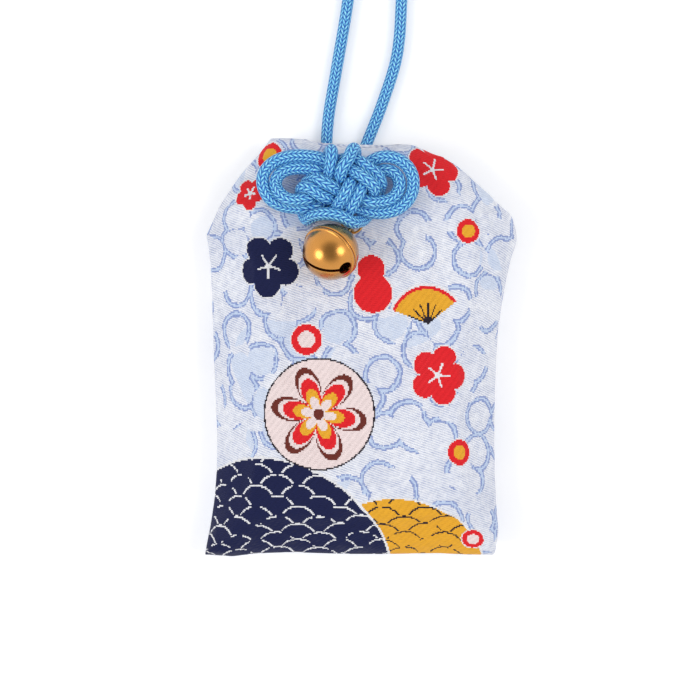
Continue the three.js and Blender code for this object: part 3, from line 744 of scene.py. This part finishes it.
class Studio:
    """A white floor, a white surround and two broad soft lamps."""

    WORLD_LEVEL = 0.7
    ZENITH_LEVEL = 0.28  # of the surround straight above, as metal reflects it
    ZENITH_REACH = (0.55, 0.98)  # heights of a direction between which it darkens
    LAMPS = (((-0.742, -0.194, 0.638), 0.85), ((0.667, 0.05, 0.745), 0.72))
    LAMP_ANGLE = math.radians(28)
    FLOOR_SIDE = 3.0
    FLOOR_GLOW = 0.2
    FLOOR_GAP = 0.05 * MM

    def __init__(self) -> None:
        scene = bpy.context.scene
        scene.view_settings.view_transform = "Standard"
        self.surround(scene)
        for index, (direction, strength) in enumerate(self.LAMPS):
            lamp = bpy.data.lights.new(f"lamp_{index}", "SUN")
            lamp.energy = strength
            lamp.angle = self.LAMP_ANGLE
            obj = bpy.data.objects.new(lamp.name, lamp)
            obj.rotation_mode = "QUATERNION"
            obj.rotation_quaternion = Vector(direction).to_track_quat("Z", "Y")
            scene.collection.objects.link(obj)
        self.floor()

    def surround(self, scene: bpy.types.Scene) -> None:
        """Makes the world white to the eye and to metal, and plain in what it lights."""
        world = bpy.data.worlds.new("surround")
        scene.world = world
        world.use_nodes = True
        nodes = NodeTree(world.node_tree)
        seen, through, glossy = (
            nodes.value("LightPath", output=f"Is {kind} Ray") for kind in ("Camera", "Transmission", "Glossy")
        )
        plain = nodes.math("MAXIMUM", seen, through) * (1 - self.WORLD_LEVEL) + self.WORLD_LEVEL
        up = nodes.split(nodes.coordinates("Generated"))[2]
        overhead = nodes.value(
            "MapRange", up, *self.ZENITH_REACH, 1.0, self.ZENITH_LEVEL, interpolation_type="SMOOTHSTEP"
        )
        back = world.node_tree.nodes["Background"]
        back.inputs["Color"].default_value = (1, 1, 1, 1)
        nodes.put(glossy * overhead + (1.0 - glossy) * plain, back.inputs["Strength"])

    def floor(self) -> None:
        """Lays a white floor just under the charm."""
        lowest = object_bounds()[0].z
        mesh = bmesh.new()
        bmesh.ops.create_grid(mesh, x_segments=1, y_segments=1, size=self.FLOOR_SIDE / 2)
        floor = scene_object("floor", mesh)
        floor.location.z = lowest - self.FLOOR_GAP
        finish = Finish("floor", Roughness=0.9, Base_Color=(0.93, 0.93, 0.94, 1.0))
        finish.set(Emission_Color=(1, 1, 1, 1))
        finish.set(Emission_Strength=finish.value("LightPath", output="Is Camera Ray") * self.FLOOR_GLOW)
        floor.data.materials.append(finish.material)
        floor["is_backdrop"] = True


class PouchForm:
    """The pouch's two panels as one grid each, taken from the outline of the CAD panels."""

    END_INSET = 0.75  # of the first and last row from the panel's ends, where its outline turns in
    SIDE_INSET = 0.8
    EDGE_ROWS = 3  # rows that are drawn out to the panel's real end
    BULGES = (
        # Where the cloth stands proud of the outline, in millimetres: middle, reach and shift
        ((-21.5, 30.5), 7.5, (-0.85, 0.6)),
        ((-14.5, 37.5), 4.5, (-0.2, 0.5)),
        ((7, 36), 4.5, (0, 0.95)),
        ((27, 20.5), 4, (0.9, 0.1)),
        ((-27, -36), 6, (-0.35, -0.45)),
    )

    def __init__(self) -> None:
        front = bpy.data.objects["pouch_front"].data
        self.places = mesh_places(front) / MM
        self.edges = np.array([tuple(edge.vertices) for edge in front.edges])
        self.seam = float(self.places[:, 2].min())
        self.top = float(self.places[:, 2].max())
        self.flat = self.flat_grid()
        self.distance = self.edge_distance()

    def extent(self, axis: int, at: float) -> tuple[float, float]:
        """Returns where the panel begins and ends along one axis, at a place on the other.

        Args:
            axis: The axis of the returned values, 0 for X and 1 for Y.
            at: The place on the other axis, in millimetres.

        Returns:
            The lowest and highest value, in millimetres.
        """
        a, b = self.places[self.edges[:, 0]], self.places[self.edges[:, 1]]
        low, high = a[:, 1 - axis], b[:, 1 - axis]
        crossing = (low - at) * (high - at) < 0
        share = (at - low[crossing]) / (high[crossing] - low[crossing])
        values = a[crossing, axis] + share * (b[crossing, axis] - a[crossing, axis])
        return float(values.min()), float(values.max())

    def flat_grid(self) -> np.ndarray:
        """Returns the flat places of the grid's points, rows by columns by 2."""
        left, bottom = self.places[:, :2].min(0) + (self.SIDE_INSET, self.END_INSET)
        right, top = self.places[:, :2].max(0) - (self.SIDE_INSET, self.END_INSET)
        grid = np.zeros((CLOTH_ROWS + 1, CLOTH_COLUMNS + 1, 2))
        for row, y in enumerate(bottom + (top - bottom) * crowded(CLOTH_ROWS)):
            low, high = self.extent(0, y)
            grid[row, :, 0] = low + (high - low) * crowded(CLOTH_COLUMNS)
            grid[row, :, 1] = y
        drawn = 1 - np.arange(self.EDGE_ROWS) / self.EDGE_ROWS
        for column in range(CLOTH_COLUMNS + 1):
            for end, rows in ((0, grid[: self.EDGE_ROWS]), (1, grid[: -self.EDGE_ROWS - 1 : -1])):
                x, y = rows[0, column]
                edge = self.extent(1, min(max(x, left), right))[end]
                rows[:, column, 1] += (edge - y) * drawn
        flat = grid.copy()
        for middle, reach, shift in self.BULGES:
            away = ((flat - middle) ** 2).sum(2) / reach**2
            grid += np.exp(-away)[..., None] * shift
        return grid

    def edge_distance(self) -> np.ndarray:
        """Returns each point's distance to the border, in millimetres."""
        a = border(self.flat)
        d = np.roll(a, -1, axis=0) - a
        points = self.flat.reshape(-1, 1, 2)
        share = np.clip(((points - a) * d).sum(2) / np.maximum((d * d).sum(1), TINY), 0, 1)
        nearest = a + share[..., None] * d
        return np.linalg.norm(points - nearest, axis=2).min(1).reshape(self.flat.shape[:2])


class Pouch:
    """The padded brocade pouch, swelled by a cloth simulation and drawn in along its seams."""

    ROLL = {1: 8.0, -1: 6.0}  # how far in from the border front and back reach their full height
    BACK_GAP = 0.1
    MOUTH_LIFT = (2.3, 10.0, 25.0)
    THICKNESS = 0.55
    MOST_MOVE = 1.1 * MM
    WRAP = 0.6  # share of a side's height by which the pattern runs on round the edge
    WRAP_REACH = 3.0
    SINK = 0.38  # how far a fold may sink, so that the linings stay covered
    PRESSED = 0.38  # how far the cloth may rise under the knot and the swinging bell
    FREE = 1.5  # how far it may rise where nothing lies on it
    LOAD = ((-3.5, 24.0), (14.5, 14.0), 5.0)  # middle and half sides under knot and bell, and the way out
    LOWEST = 0.05
    FOLD_REACH = 5.0  # how far in from the seam the small folds run
    FOLD_HEIGHT = 1.1
    BROAD_HEIGHT = 0.3
    APART = 40  # how far from each other front and back read the folds' noise
    CLOTH = {
        "quality": 6,
        "mass": 0.05,
        "tension_stiffness": 12,
        "compression_stiffness": 12,
        "shear_stiffness": 4,
        "bending_stiffness": 0.02,
        "shrink_min": -0.02,
        "use_pressure": True,
        "uniform_pressure_force": 0.6,
        "pin_stiffness": 1.0,
    }
    SEAM_HOLD = 0.9
    INNER_HOLD = 0.04

    def __init__(self, finish_front: Finish, finish_back: Finish) -> None:
        self.form = PouchForm()
        self.heights = {side: self.height(side) for side in (1, -1)}
        shell, numbers = self.closed_shell()
        places = self.swelled(shell, numbers[1])
        bpy.data.objects.remove(shell, do_unlink=True)
        for side, name, finish in ((1, "pouch_front", finish_front), (-1, "pouch_back", finish_back)):
            piece = self.panel(f"{name}_cloth", places[numbers[side]], side, finish).replaces(name)

    def height(self, side: int) -> np.ndarray:
        """Returns the height of each grid point on the front or the back, in millimetres."""
        form = self.form
        share = np.clip(form.distance / self.ROLL[side], 0, 1)
        round_share = np.sqrt(1 - (1 - share) ** 2)
        if side > 0:
            return form.seam + (form.top - form.seam) * round_share
        lift, start, end = self.MOUTH_LIFT
        deep = form.seam - self.BACK_GAP - lift * smooth_step(form.flat[..., 1], start, end)
        return form.seam - deep * round_share

    def closed_shell(self) -> tuple[bpy.types.Object, dict[int, np.ndarray]]:
        """Makes front and back as one closed mesh, joined along the seam.

        Returns:
            The object, and for each side the vertex number of each grid point.
        """
        front, back = (np.dstack([self.form.flat, self.heights[side]]) for side in (1, -1))
        size = front.shape[0] * front.shape[1]
        numbers = {side: np.arange(size).reshape(front.shape[:2]) for side in (1, -1)}
        inner = numbers[-1][1:-1, 1:-1]
        inner[:] = size + np.arange(inner.size).reshape(inner.shape)
        vertices = np.concatenate([front.reshape(-1, 3), back[1:-1, 1:-1].reshape(-1, 3)]) * MM
        faces = []
        for side, grid in numbers.items():
            quads = np.dstack([grid[:-1, :-1], grid[:-1, 1:], grid[1:, 1:], grid[1:, :-1]]).reshape(-1, 4)
            faces += quads[:, ::side].tolist()
        data = bpy.data.meshes.new("shell")
        data.from_pydata(vertices.tolist(), [], faces)
        shell = bpy.data.objects.new("shell", data)
        bpy.context.scene.collection.objects.link(shell)
        return shell, numbers

    def swelled(self, shell: bpy.types.Object, front: np.ndarray) -> np.ndarray:
        """Lets the closed shell swell under pressure, with its seam held, and returns the new places."""
        start = mesh_places(shell.data)
        seam = set(border(front).tolist())
        held = shell.vertex_groups.new(name="held")
        held.add(list(seam), self.SEAM_HOLD, "REPLACE")
        held.add([number for number in range(len(start)) if number not in seam], self.INNER_HOLD, "REPLACE")
        cloth = shell.modifiers.new("cloth", "CLOTH")
        for name, value in self.CLOTH.items():
            setattr(cloth.settings, name, value)
        cloth.settings.vertex_group_mass = held.name
        cloth.settings.effector_weights.gravity = 0
        cloth.point_cache.frame_start = 1
        cloth.point_cache.frame_end = SIMULATION_FRAMES
        for frame in range(1, SIMULATION_FRAMES + 1):
            bpy.context.scene.frame_set(frame)
        graph = bpy.context.evaluated_depsgraph_get()
        shift = mesh_places(shell.evaluated_get(graph).data) - start
        length = np.linalg.norm(shift, axis=1, keepdims=True)
        LOG.info("cloth moved by up to %.2f mm, %.2f mm on average", length.max() / MM, length.mean() / MM)
        bpy.context.scene.frame_set(1)
        return start + shift * np.minimum(1, self.MOST_MOVE / np.maximum(length, TINY))

    def pucker(self, x: float, y: float, distance: float) -> float:
        """Returns how far small folds beside the seam lift or sink a point, in millimetres."""
        near = math.exp(-((distance / self.FOLD_REACH) ** 2)) * min(1, distance / 0.8)
        wave = noise.noise(Vector((x * 0.14, y * 0.36, 3.0)))
        broad = noise.noise(Vector((x * 0.07, y * 0.07, 8.0)))
        return near * wave * self.FOLD_HEIGHT + broad * self.BROAD_HEIGHT * min(1, distance / 6)

    def room(self) -> np.ndarray:
        """Returns how far the cloth may rise at each grid point, in millimetres."""
        middle, half, way = self.LOAD
        beyond = np.maximum(np.abs(self.form.flat - middle) - half, 0)
        away = np.linalg.norm(beyond, axis=2)
        return self.PRESSED + (self.FREE - self.PRESSED) * smooth_step(away, 0, way)

    def unrolled(self, side: int) -> np.ndarray:
        """Returns where each grid point lies on the cloth before it bends round the pouch's edge."""
        flat, height = self.form.flat, self.heights[side]
        x, y = flat[..., 0], flat[..., 1]
        edges = (flat[:, -1:, 0] - x, x - flat[:, :1, 0], flat[-1:, :, 1] - y, y - flat[:1, :, 1])
        right, left, top, bottom = (np.exp(-edge / self.WRAP_REACH) for edge in edges)
        outward = np.stack([right - left, top - bottom], axis=-1)
        outward /= np.maximum(np.linalg.norm(outward, axis=-1, keepdims=True), 0.01)
        full = height.max() if side > 0 else height.min()
        return flat + outward * (np.abs(full - height) * self.WRAP)[..., None]

    def panel(self, name: str, places: np.ndarray, side: int, finish: Finish) -> Piece:
        """Makes one panel of cloth with its thickness, from the swelled places."""
        form = self.form
        mesh = bmesh.new()
        uv = mesh.loops.layers.uv.new("UVMap")
        rows, columns = places.shape[:2]
        woven = 0.5 + self.unrolled(side) / CLOTH_SQUARE
        room = self.room()
        verts = []
        for r, c in np.ndindex(rows, columns):
            place = Vector(places[r, c])
            x, y = form.flat[r, c]
            place.z += side * self.pucker(x + self.APART * side, y, form.distance[r, c]) * MM
            full = self.heights[side][r, c]
            outward = side * (place.z / MM - full)
            kept = min(outward, room[r, c]) if outward > 0 else self.SINK * math.tanh(outward / self.SINK)
            place.z = max(full + side * kept, self.LOWEST) * MM
            verts.append(mesh.verts.new(place))
        for r, c in np.ndindex(rows - 1, columns - 1):
            corners = [(r, c), (r, c + 1), (r + 1, c + 1), (r + 1, c)][::side]
            face = mesh.faces.new([verts[i * columns + j] for i, j in corners])
            for loop, corner in zip(face.loops, corners):
                loop[uv].uv = woven[corner]
        piece = Piece(name, mesh, finish, "pouch", "brocade")
        thick = piece.obj.modifiers.new("thickness", "SOLIDIFY")
        thick.thickness = self.THICKNESS * MM
        thick.offset = -1
        return piece.refine(1)


class Knot:
    """The double ear knot, its turns drawn tight against each other."""

    ROUNDS = 260
    SMOOTH_ROUNDS = 234  # after these, the turns are only pushed apart
    PASSES = 5
    SMOOTHING = 0.22
    HAND_PULL = 0.03
    PUSH = 0.4
    TIGHTNESS = 0.93  # share of the cord's diameter to which turns may press together
    CLEARANCE = 0.05
    OFF_FLOOR = 0.03
    SAME_TURN = 1.7  # points nearer than this along the cord, in turns' distances, aren't pushed apart
    ENDS = 1.3  # share of the pouch's height over which the knot's two ends stay in place

    def __init__(self, finish: Finish, floor: float) -> None:
        self.floor = floor
        self.radius = KNOT_CORD_DIAMETER / 2
        line = interpolated([Vector(p) * MM for p in self.eased(self.route())], per_span=3)
        Piece("knot_cord", tube(line, KNOT_CORD_DIAMETER), finish, "pouch", "braid").replaces("front_knot")

    def route(self) -> np.ndarray:
        """Returns the given route in even steps, in millimetres."""
        level = self.floor + self.radius
        x, y = KNOT_MIDDLE
        hole_x, hole_y = CORD_HOLE
        wide, long = KNOT_STRETCH
        apart = self.radius + self.CLEARANCE
        rough = [
            *(Vector((px, py, self.radius)) for px, py in BEHIND_LEFT),
            *(Vector((hole_x - apart, hole_y, z)) for z in (self.floor * 0.45, self.floor)),
            *(Vector((x + px * wide, y + py * long, level + pz * LEVEL_RISE)) for px, py, pz in KNOT_ROUTE),
            *(Vector((hole_x + apart, hole_y, z)) for z in (self.floor, self.floor * 0.45)),
            *(Vector((px, py, self.radius)) for px, py in reversed(BEHIND_RIGHT)),
        ]
        return np.array([tuple(p) for p in evenly(interpolated(rough), KNOT_STEP)])

    def eased(self, hand: np.ndarray) -> np.ndarray:
        """Draws the turns smooth and pushes them apart until they only touch."""
        near = KNOT_CORD_DIAMETER * self.TIGHTNESS
        points = hand.copy()
        count = len(points)
        fixed = round(self.floor * self.ENDS / KNOT_STEP)
        free = np.zeros((count, 1))
        free[fixed : count - fixed] = 1
        neighbours = math.ceil(near * self.SAME_TURN / KNOT_STEP)
        same_turn = np.abs(np.subtract.outer(np.arange(count), np.arange(count))) < neighbours
        lowest = np.clip(hand[:, 2], self.radius + self.OFF_FLOOR, self.floor + self.radius)
        for turn in range(self.ROUNDS):
            if turn < self.SMOOTH_ROUNDS:
                middle = (np.roll(points, 1, 0) + np.roll(points, -1, 0)) / 2
                points += free * ((middle - points) * self.SMOOTHING + (hand - points) * self.HAND_PULL)
            for _ in range(self.PASSES):
                between = points[:, None] - points[None]
                gap = np.linalg.norm(between, axis=2)
                gap[same_turn] = near
                push = np.clip(near - gap, 0, None) / np.maximum(gap, 1e-6) * self.PUSH
                points += free * (between * push[..., None]).sum(1)
            points[:, 2] = np.maximum(points[:, 2], lowest)
        return points


class Strands:
    """The cord's free part: two strands, the knot that ties them, and the two tails."""

    RADIUS = CORD_DIAMETER / 2 * MM
    STRAND_SIDES = 24
    TAIL_BEND_SHARE = 0.4
    KNOT_STEPS = 220
    KNOT_CLOSED = 0.992  # share of the overhand knot's two turns that is drawn

    def __init__(self, finish: Finish) -> None:
        self.finish = finish
        ends = [self.domed("end_knot", "end_knot_cord", self.end_knot())]
        ends += [self.domed(name, f"{name}_braid", self.tail(name)) for name in ("tail_left", "tail_right")]
        for name, route in (("cord_left", LEFT_STRAND), ("cord_right", RIGHT_STRAND)):
            points = [Vector((x, y, CORD_DIAMETER / 2)) * MM for x, y in route]
            line = evenly(interpolated(points), CORD_STEP * MM)
            mesh = tube(line, CORD_DIAMETER, self.STRAND_SIDES)
            strand = Piece(f"{name}_braid", mesh, finish, "pouch", "braid").replaces(name)

    def domed(self, node: str, name: str, line: Sequence[Vector]) -> bpy.types.Object:
        """Makes a cord with domed ends in the place of a CAD node."""
        mesh = tube(line, CORD_DIAMETER, rounded=True)
        return Piece(name, mesh, self.finish, "pouch", "braid").replaces(node).obj

    def end_knot(self) -> list[Vector]:
        """Returns the overhand knot's centreline, where the CAD one lies."""
        low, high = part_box("end_knot")
        middle = (low + high) / 2
        reach = (high - low) / 2 - Vector((self.RADIUS,) * 3)
        line = []
        for step in range(self.KNOT_STEPS):
            angle = math.tau * 2 * step / self.KNOT_STEPS * self.KNOT_CLOSED
            ring = (2 + math.cos(1.5 * angle)) / 3
            place = Vector((math.cos(angle) * ring, math.sin(angle) * ring, math.sin(1.5 * angle)))
            line.append(middle + place * reach)
        return line

    def tail(self, name: str) -> list[Vector]:
        """Returns the centreline of one of the cord's two ends."""
        low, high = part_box(name)
        side, inner, outer = (-1, high.x, low.x) if name.endswith("left") else (1, low.x, high.x)
        start = Vector((inner + side * self.RADIUS, low.y - MM, self.RADIUS))
        end = Vector((outer - side * self.RADIUS, high.y, self.RADIUS))
        bend = start.lerp(end, 0.5)
        bend.x = start.x + (end.x - start.x) * self.TAIL_BEND_SHARE
        return evenly(interpolated([start, bend, end]), CORD_STEP * MM)


class Bell:
    """The brass crotal bell, its slit, its wire eye, the ring and the ball inside."""

    RADIUS = 5.0
    WALL = 0.4
    GAP = 0.12
    RIM_WIDTH = 0.55
    RIM_PROUD = 0.22
    RIM_BEVEL = 0.099
    SLIT = 0.6
    SLIT_HOLE = 1.25
    SLIT_ANGLE = math.radians(65)
    AXIS = Vector((0.543, 0.556, -0.63)).normalized()
    SLIT_NORMAL = Vector((0.044, 0.731, 0.682)).normalized()
    SEGMENTS = 128
    ARC_STEPS = 28
    CREASE = math.radians(38)

    def __init__(self, centre: Vector, brass: Finish, wire: Finish, iron: Finish) -> None:
        across = (self.SLIT_NORMAL - self.AXIS * self.SLIT_NORMAL.dot(self.AXIS)).normalized()
        basis = Matrix((across.cross(self.AXIS), across, self.AXIS)).transposed().to_4x4()
        for side, node in ((1, "bell_crown"), (-1, "bell_jaw")):
            shell = Piece(f"{node}_shell", self.half_shell(side), brass, "bell", "bell_brass").replaces(node)
            if side < 0:
                self.cut_slit(shell)
            shell.obj.data.transform(Matrix.Translation(centre) @ basis)
            shell.obj.data.shade_smooth()
            self.sharpen(shell)
        smooth_copy("bell_bail", "bell_eye_wire", wire, "bell", "ring_brass", 2)
        smooth_copy("jump_ring", "ring_wire", wire, "pouch", "ring_brass", 1)
        smooth_copy("bell_pellet", "pellet_ball", iron, "pellet", "pellet_iron", 1)

    def arc(self, radius: float, start: float, end: float) -> list[tuple[float, float]]:
        """Returns an arc's points, as distances from the axis and heights."""
        angles = [start + (end - start) * step / self.ARC_STEPS for step in range(self.ARC_STEPS + 1)]
        return [(radius * math.cos(angle), radius * math.sin(angle)) for angle in angles]

    def half_shell(self, side: int) -> bmesh.types.BMesh:
        """Turns half of the bell's wall about Z, with the rim that joins the two halves."""
        low = self.GAP / 2
        rim = low + self.RIM_WIDTH
        inner = self.RADIUS - self.WALL
        edge = self.RADIUS + self.RIM_PROUD
        bevel = self.RIM_BEVEL
        profile = [
            *self.arc(inner, math.pi / 2, math.asin(low / inner)),
            (edge - bevel, low), (edge - bevel * 0.3, low + bevel * 0.3), (edge, low + bevel),
            (edge, rim - bevel), (edge - bevel * 0.4, rim - bevel * 0.3), (edge - bevel, rim),
            *self.arc(self.RADIUS, math.asin((rim + 0.06) / self.RADIUS), math.pi / 2),
        ]
        mesh = bmesh.new()
        turns = [math.tau * i / self.SEGMENTS for i in range(self.SEGMENTS)]
        rings = []
        for radius, z in profile:
            directions = turns if radius > 1e-6 else [0.0]
            places = [Vector((radius * math.cos(a), radius * math.sin(a), z * side)) for a in directions]
            rings.append([mesh.verts.new(place * MM) for place in places])
        for lower, upper in zip(rings, rings[1:]):
            for i in range(self.SEGMENTS):
                j = (i + 1) % self.SEGMENTS
                order = ((lower, i), (lower, j), (upper, j), (upper, i))
                corners = [ring[k % len(ring)] for ring, k in order]
                mesh.faces.new(list(dict.fromkeys(corners)))
        bmesh.ops.recalc_face_normals(mesh, faces=mesh.faces)
        return mesh

    def cut_slit(self, jaw: Piece) -> None:
        """Cuts the slit across the pole and the round hole at each of its ends."""
        depth = (self.RADIUS * (1 - math.cos(self.SLIT_ANGLE)) + 1) * MM
        width = self.RADIUS * math.sin(self.SLIT_ANGLE) * 2 * MM
        cutter = bmesh.new()
        bmesh.ops.create_cube(cutter, size=1)
        bmesh.ops.scale(cutter, vec=(width, self.SLIT * MM, depth), verts=cutter.verts)
        bmesh.ops.translate(cutter, vec=(0, 0, -(self.RADIUS + 1) * MM + depth / 2), verts=cutter.verts)
        self.cut(jaw, cutter)
        for side in (-1, 1):
            hole = bmesh.new()
            direction = Vector((side * math.sin(self.SLIT_ANGLE), 0, -math.cos(self.SLIT_ANGLE)))
            turn = direction.to_track_quat("Z", "Y").to_matrix().to_4x4()
            place = Matrix.Translation(direction * self.RADIUS * MM) @ turn
            bmesh.ops.create_cone(
                hole, cap_ends=True, segments=40, radius1=self.SLIT_HOLE * MM, radius2=self.SLIT_HOLE * MM,
                depth=2 * MM, matrix=place,
            )
            self.cut(jaw, hole)

    def cut(self, piece: Piece, cutter: bmesh.types.BMesh) -> None:
        """Takes a closed mesh away from a piece."""
        tool = scene_object("cutter", cutter)
        boolean = piece.obj.modifiers.new("cut", "BOOLEAN")
        boolean.operation = "DIFFERENCE"
        boolean.solver = "EXACT"
        boolean.object = tool
        piece.settle()
        bpy.data.objects.remove(tool, do_unlink=True)

    def sharpen(self, piece: Piece) -> None:
        """Keeps the edges of the slit and the rim crisp."""
        mesh = bmesh.new()
        mesh.from_mesh(piece.obj.data)
        for edge in mesh.edges:
            if len(edge.link_faces) == 2 and edge.calc_face_angle(0) > self.CREASE:
                edge.smooth = False
        mesh.to_mesh(piece.obj.data)
        mesh.free()


def smooth_copy(node: str, name: str, finish: Finish, body: str, slot: str, levels: int) -> Piece:
    """Makes a rounder piece from a copy of a CAD node's mesh.

    Args:
        node: The CAD node, which the new piece replaces.
        name: The new piece's name.
        finish: Its material.
        body: The body that carries it.
        slot: The record's material slot, which is not used.
        levels: How often the mesh is subdivided.

    Returns:
        The new piece.
    """
    mesh = bmesh.new()
    mesh.from_mesh(bpy.data.objects[node].data)
    bmesh.ops.remove_doubles(mesh, verts=mesh.verts, dist=1e-7)
    bmesh.ops.join_triangles(
        mesh, faces=mesh.faces, angle_face_threshold=math.radians(35), angle_shape_threshold=math.radians(60),
    )
    piece = Piece(name, mesh, finish, body, slot)
    if levels:
        piece.refine(levels)
    piece.obj.data.shade_smooth()
    return piece.replaces(node)


class Filling:
    """What the sealed pouch holds: linings, wadding, folded allowances, card, paper and slip."""

    GRAINS = {
        "lining_cloth": (srgb(242, 239, 230), (900, 900, 900), 0.05 * MM),
        "wadding": (srgb(250, 250, 250), (500, 500, 500), 0.2 * MM),
        "brocade": (srgb(214, 222, 236), (1800, 400, 900), 0.05 * MM),
        "card": (srgb(232, 226, 210), (700, 700, 700), 0.02 * MM),
        "paper": (srgb(251, 248, 239), (600, 600, 600), 0.02 * MM),
        "tablet_wood": (srgb(216, 185, 138), (900, 60, 200), 0.04 * MM),
    }
    SOFT = (
        ("lining_cloth", 0, ("lining_front", "lining_back")),
        ("wadding", 1, ("padding_front", "padding_back")),
        ("brocade", 0, ("seam_left", "seam_right", "seam_bottom", "mouth_tuck")),
    )
    PLATES = (
        ("card", ("stiffener_card",)),
        ("paper", ("paper_wrap_front", "paper_wrap_back")),
        ("tablet_wood", ("charm_tablet",)),
    )

    def __init__(self) -> None:
        finishes = {slot: Plain(f"{slot}_inside", *values) for slot, values in self.GRAINS.items()}
        for slot, levels, nodes in self.SOFT:
            for node in nodes:
                smooth_copy(node, f"{node}_soft", finishes[slot], "pouch", slot, levels)
        for slot, nodes in self.PLATES:
            for node in nodes:
                materials = bpy.data.objects[node].data.materials
                materials.clear()
                materials.append(finishes[slot].material)


def write_sizes(cad: tuple[Vector, Vector]) -> None:
    """Logs the CAD box and the visual model's box.

    Args:
        cad: The lowest and highest corner of the CAD model.
    """
    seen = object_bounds()
    for name, (low, high) in (("CAD", cad), ("visual", seen)):
        LOG.info("%s box %s mm", name, [round(v / MM, 2) for v in (*low, *high)])


def main() -> None:
    """Builds the whole scene."""
    logging.basicConfig(level=logging.INFO, format="%(name)s: %(message)s")
    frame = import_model()
    cad = tuple(corner.copy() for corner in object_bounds())
    Camera()
    braid = Braid()
    Strands(braid)
    Studio()
    Pouch(Brocade("brocade_front", decorated=True), Brocade("brocade_back", decorated=False))
    Knot(braid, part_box("pouch_front")[1].z / MM)
    middle = next(Vector(joint["pos_m"]) for joint in frame["joints"] if joint["name"] == "pellet_roll")
    Bell(
        middle,
        Metal("bell_brass", srgb(222, 150, 54), 0.25),
        Metal("ring_brass", srgb(214, 176, 104), 0.28),
        Metal("pellet_iron", srgb(120, 120, 124), 0.5),
    )
    Filling()
    write_sizes(cad)


if __name__ == "__main__":
    main()
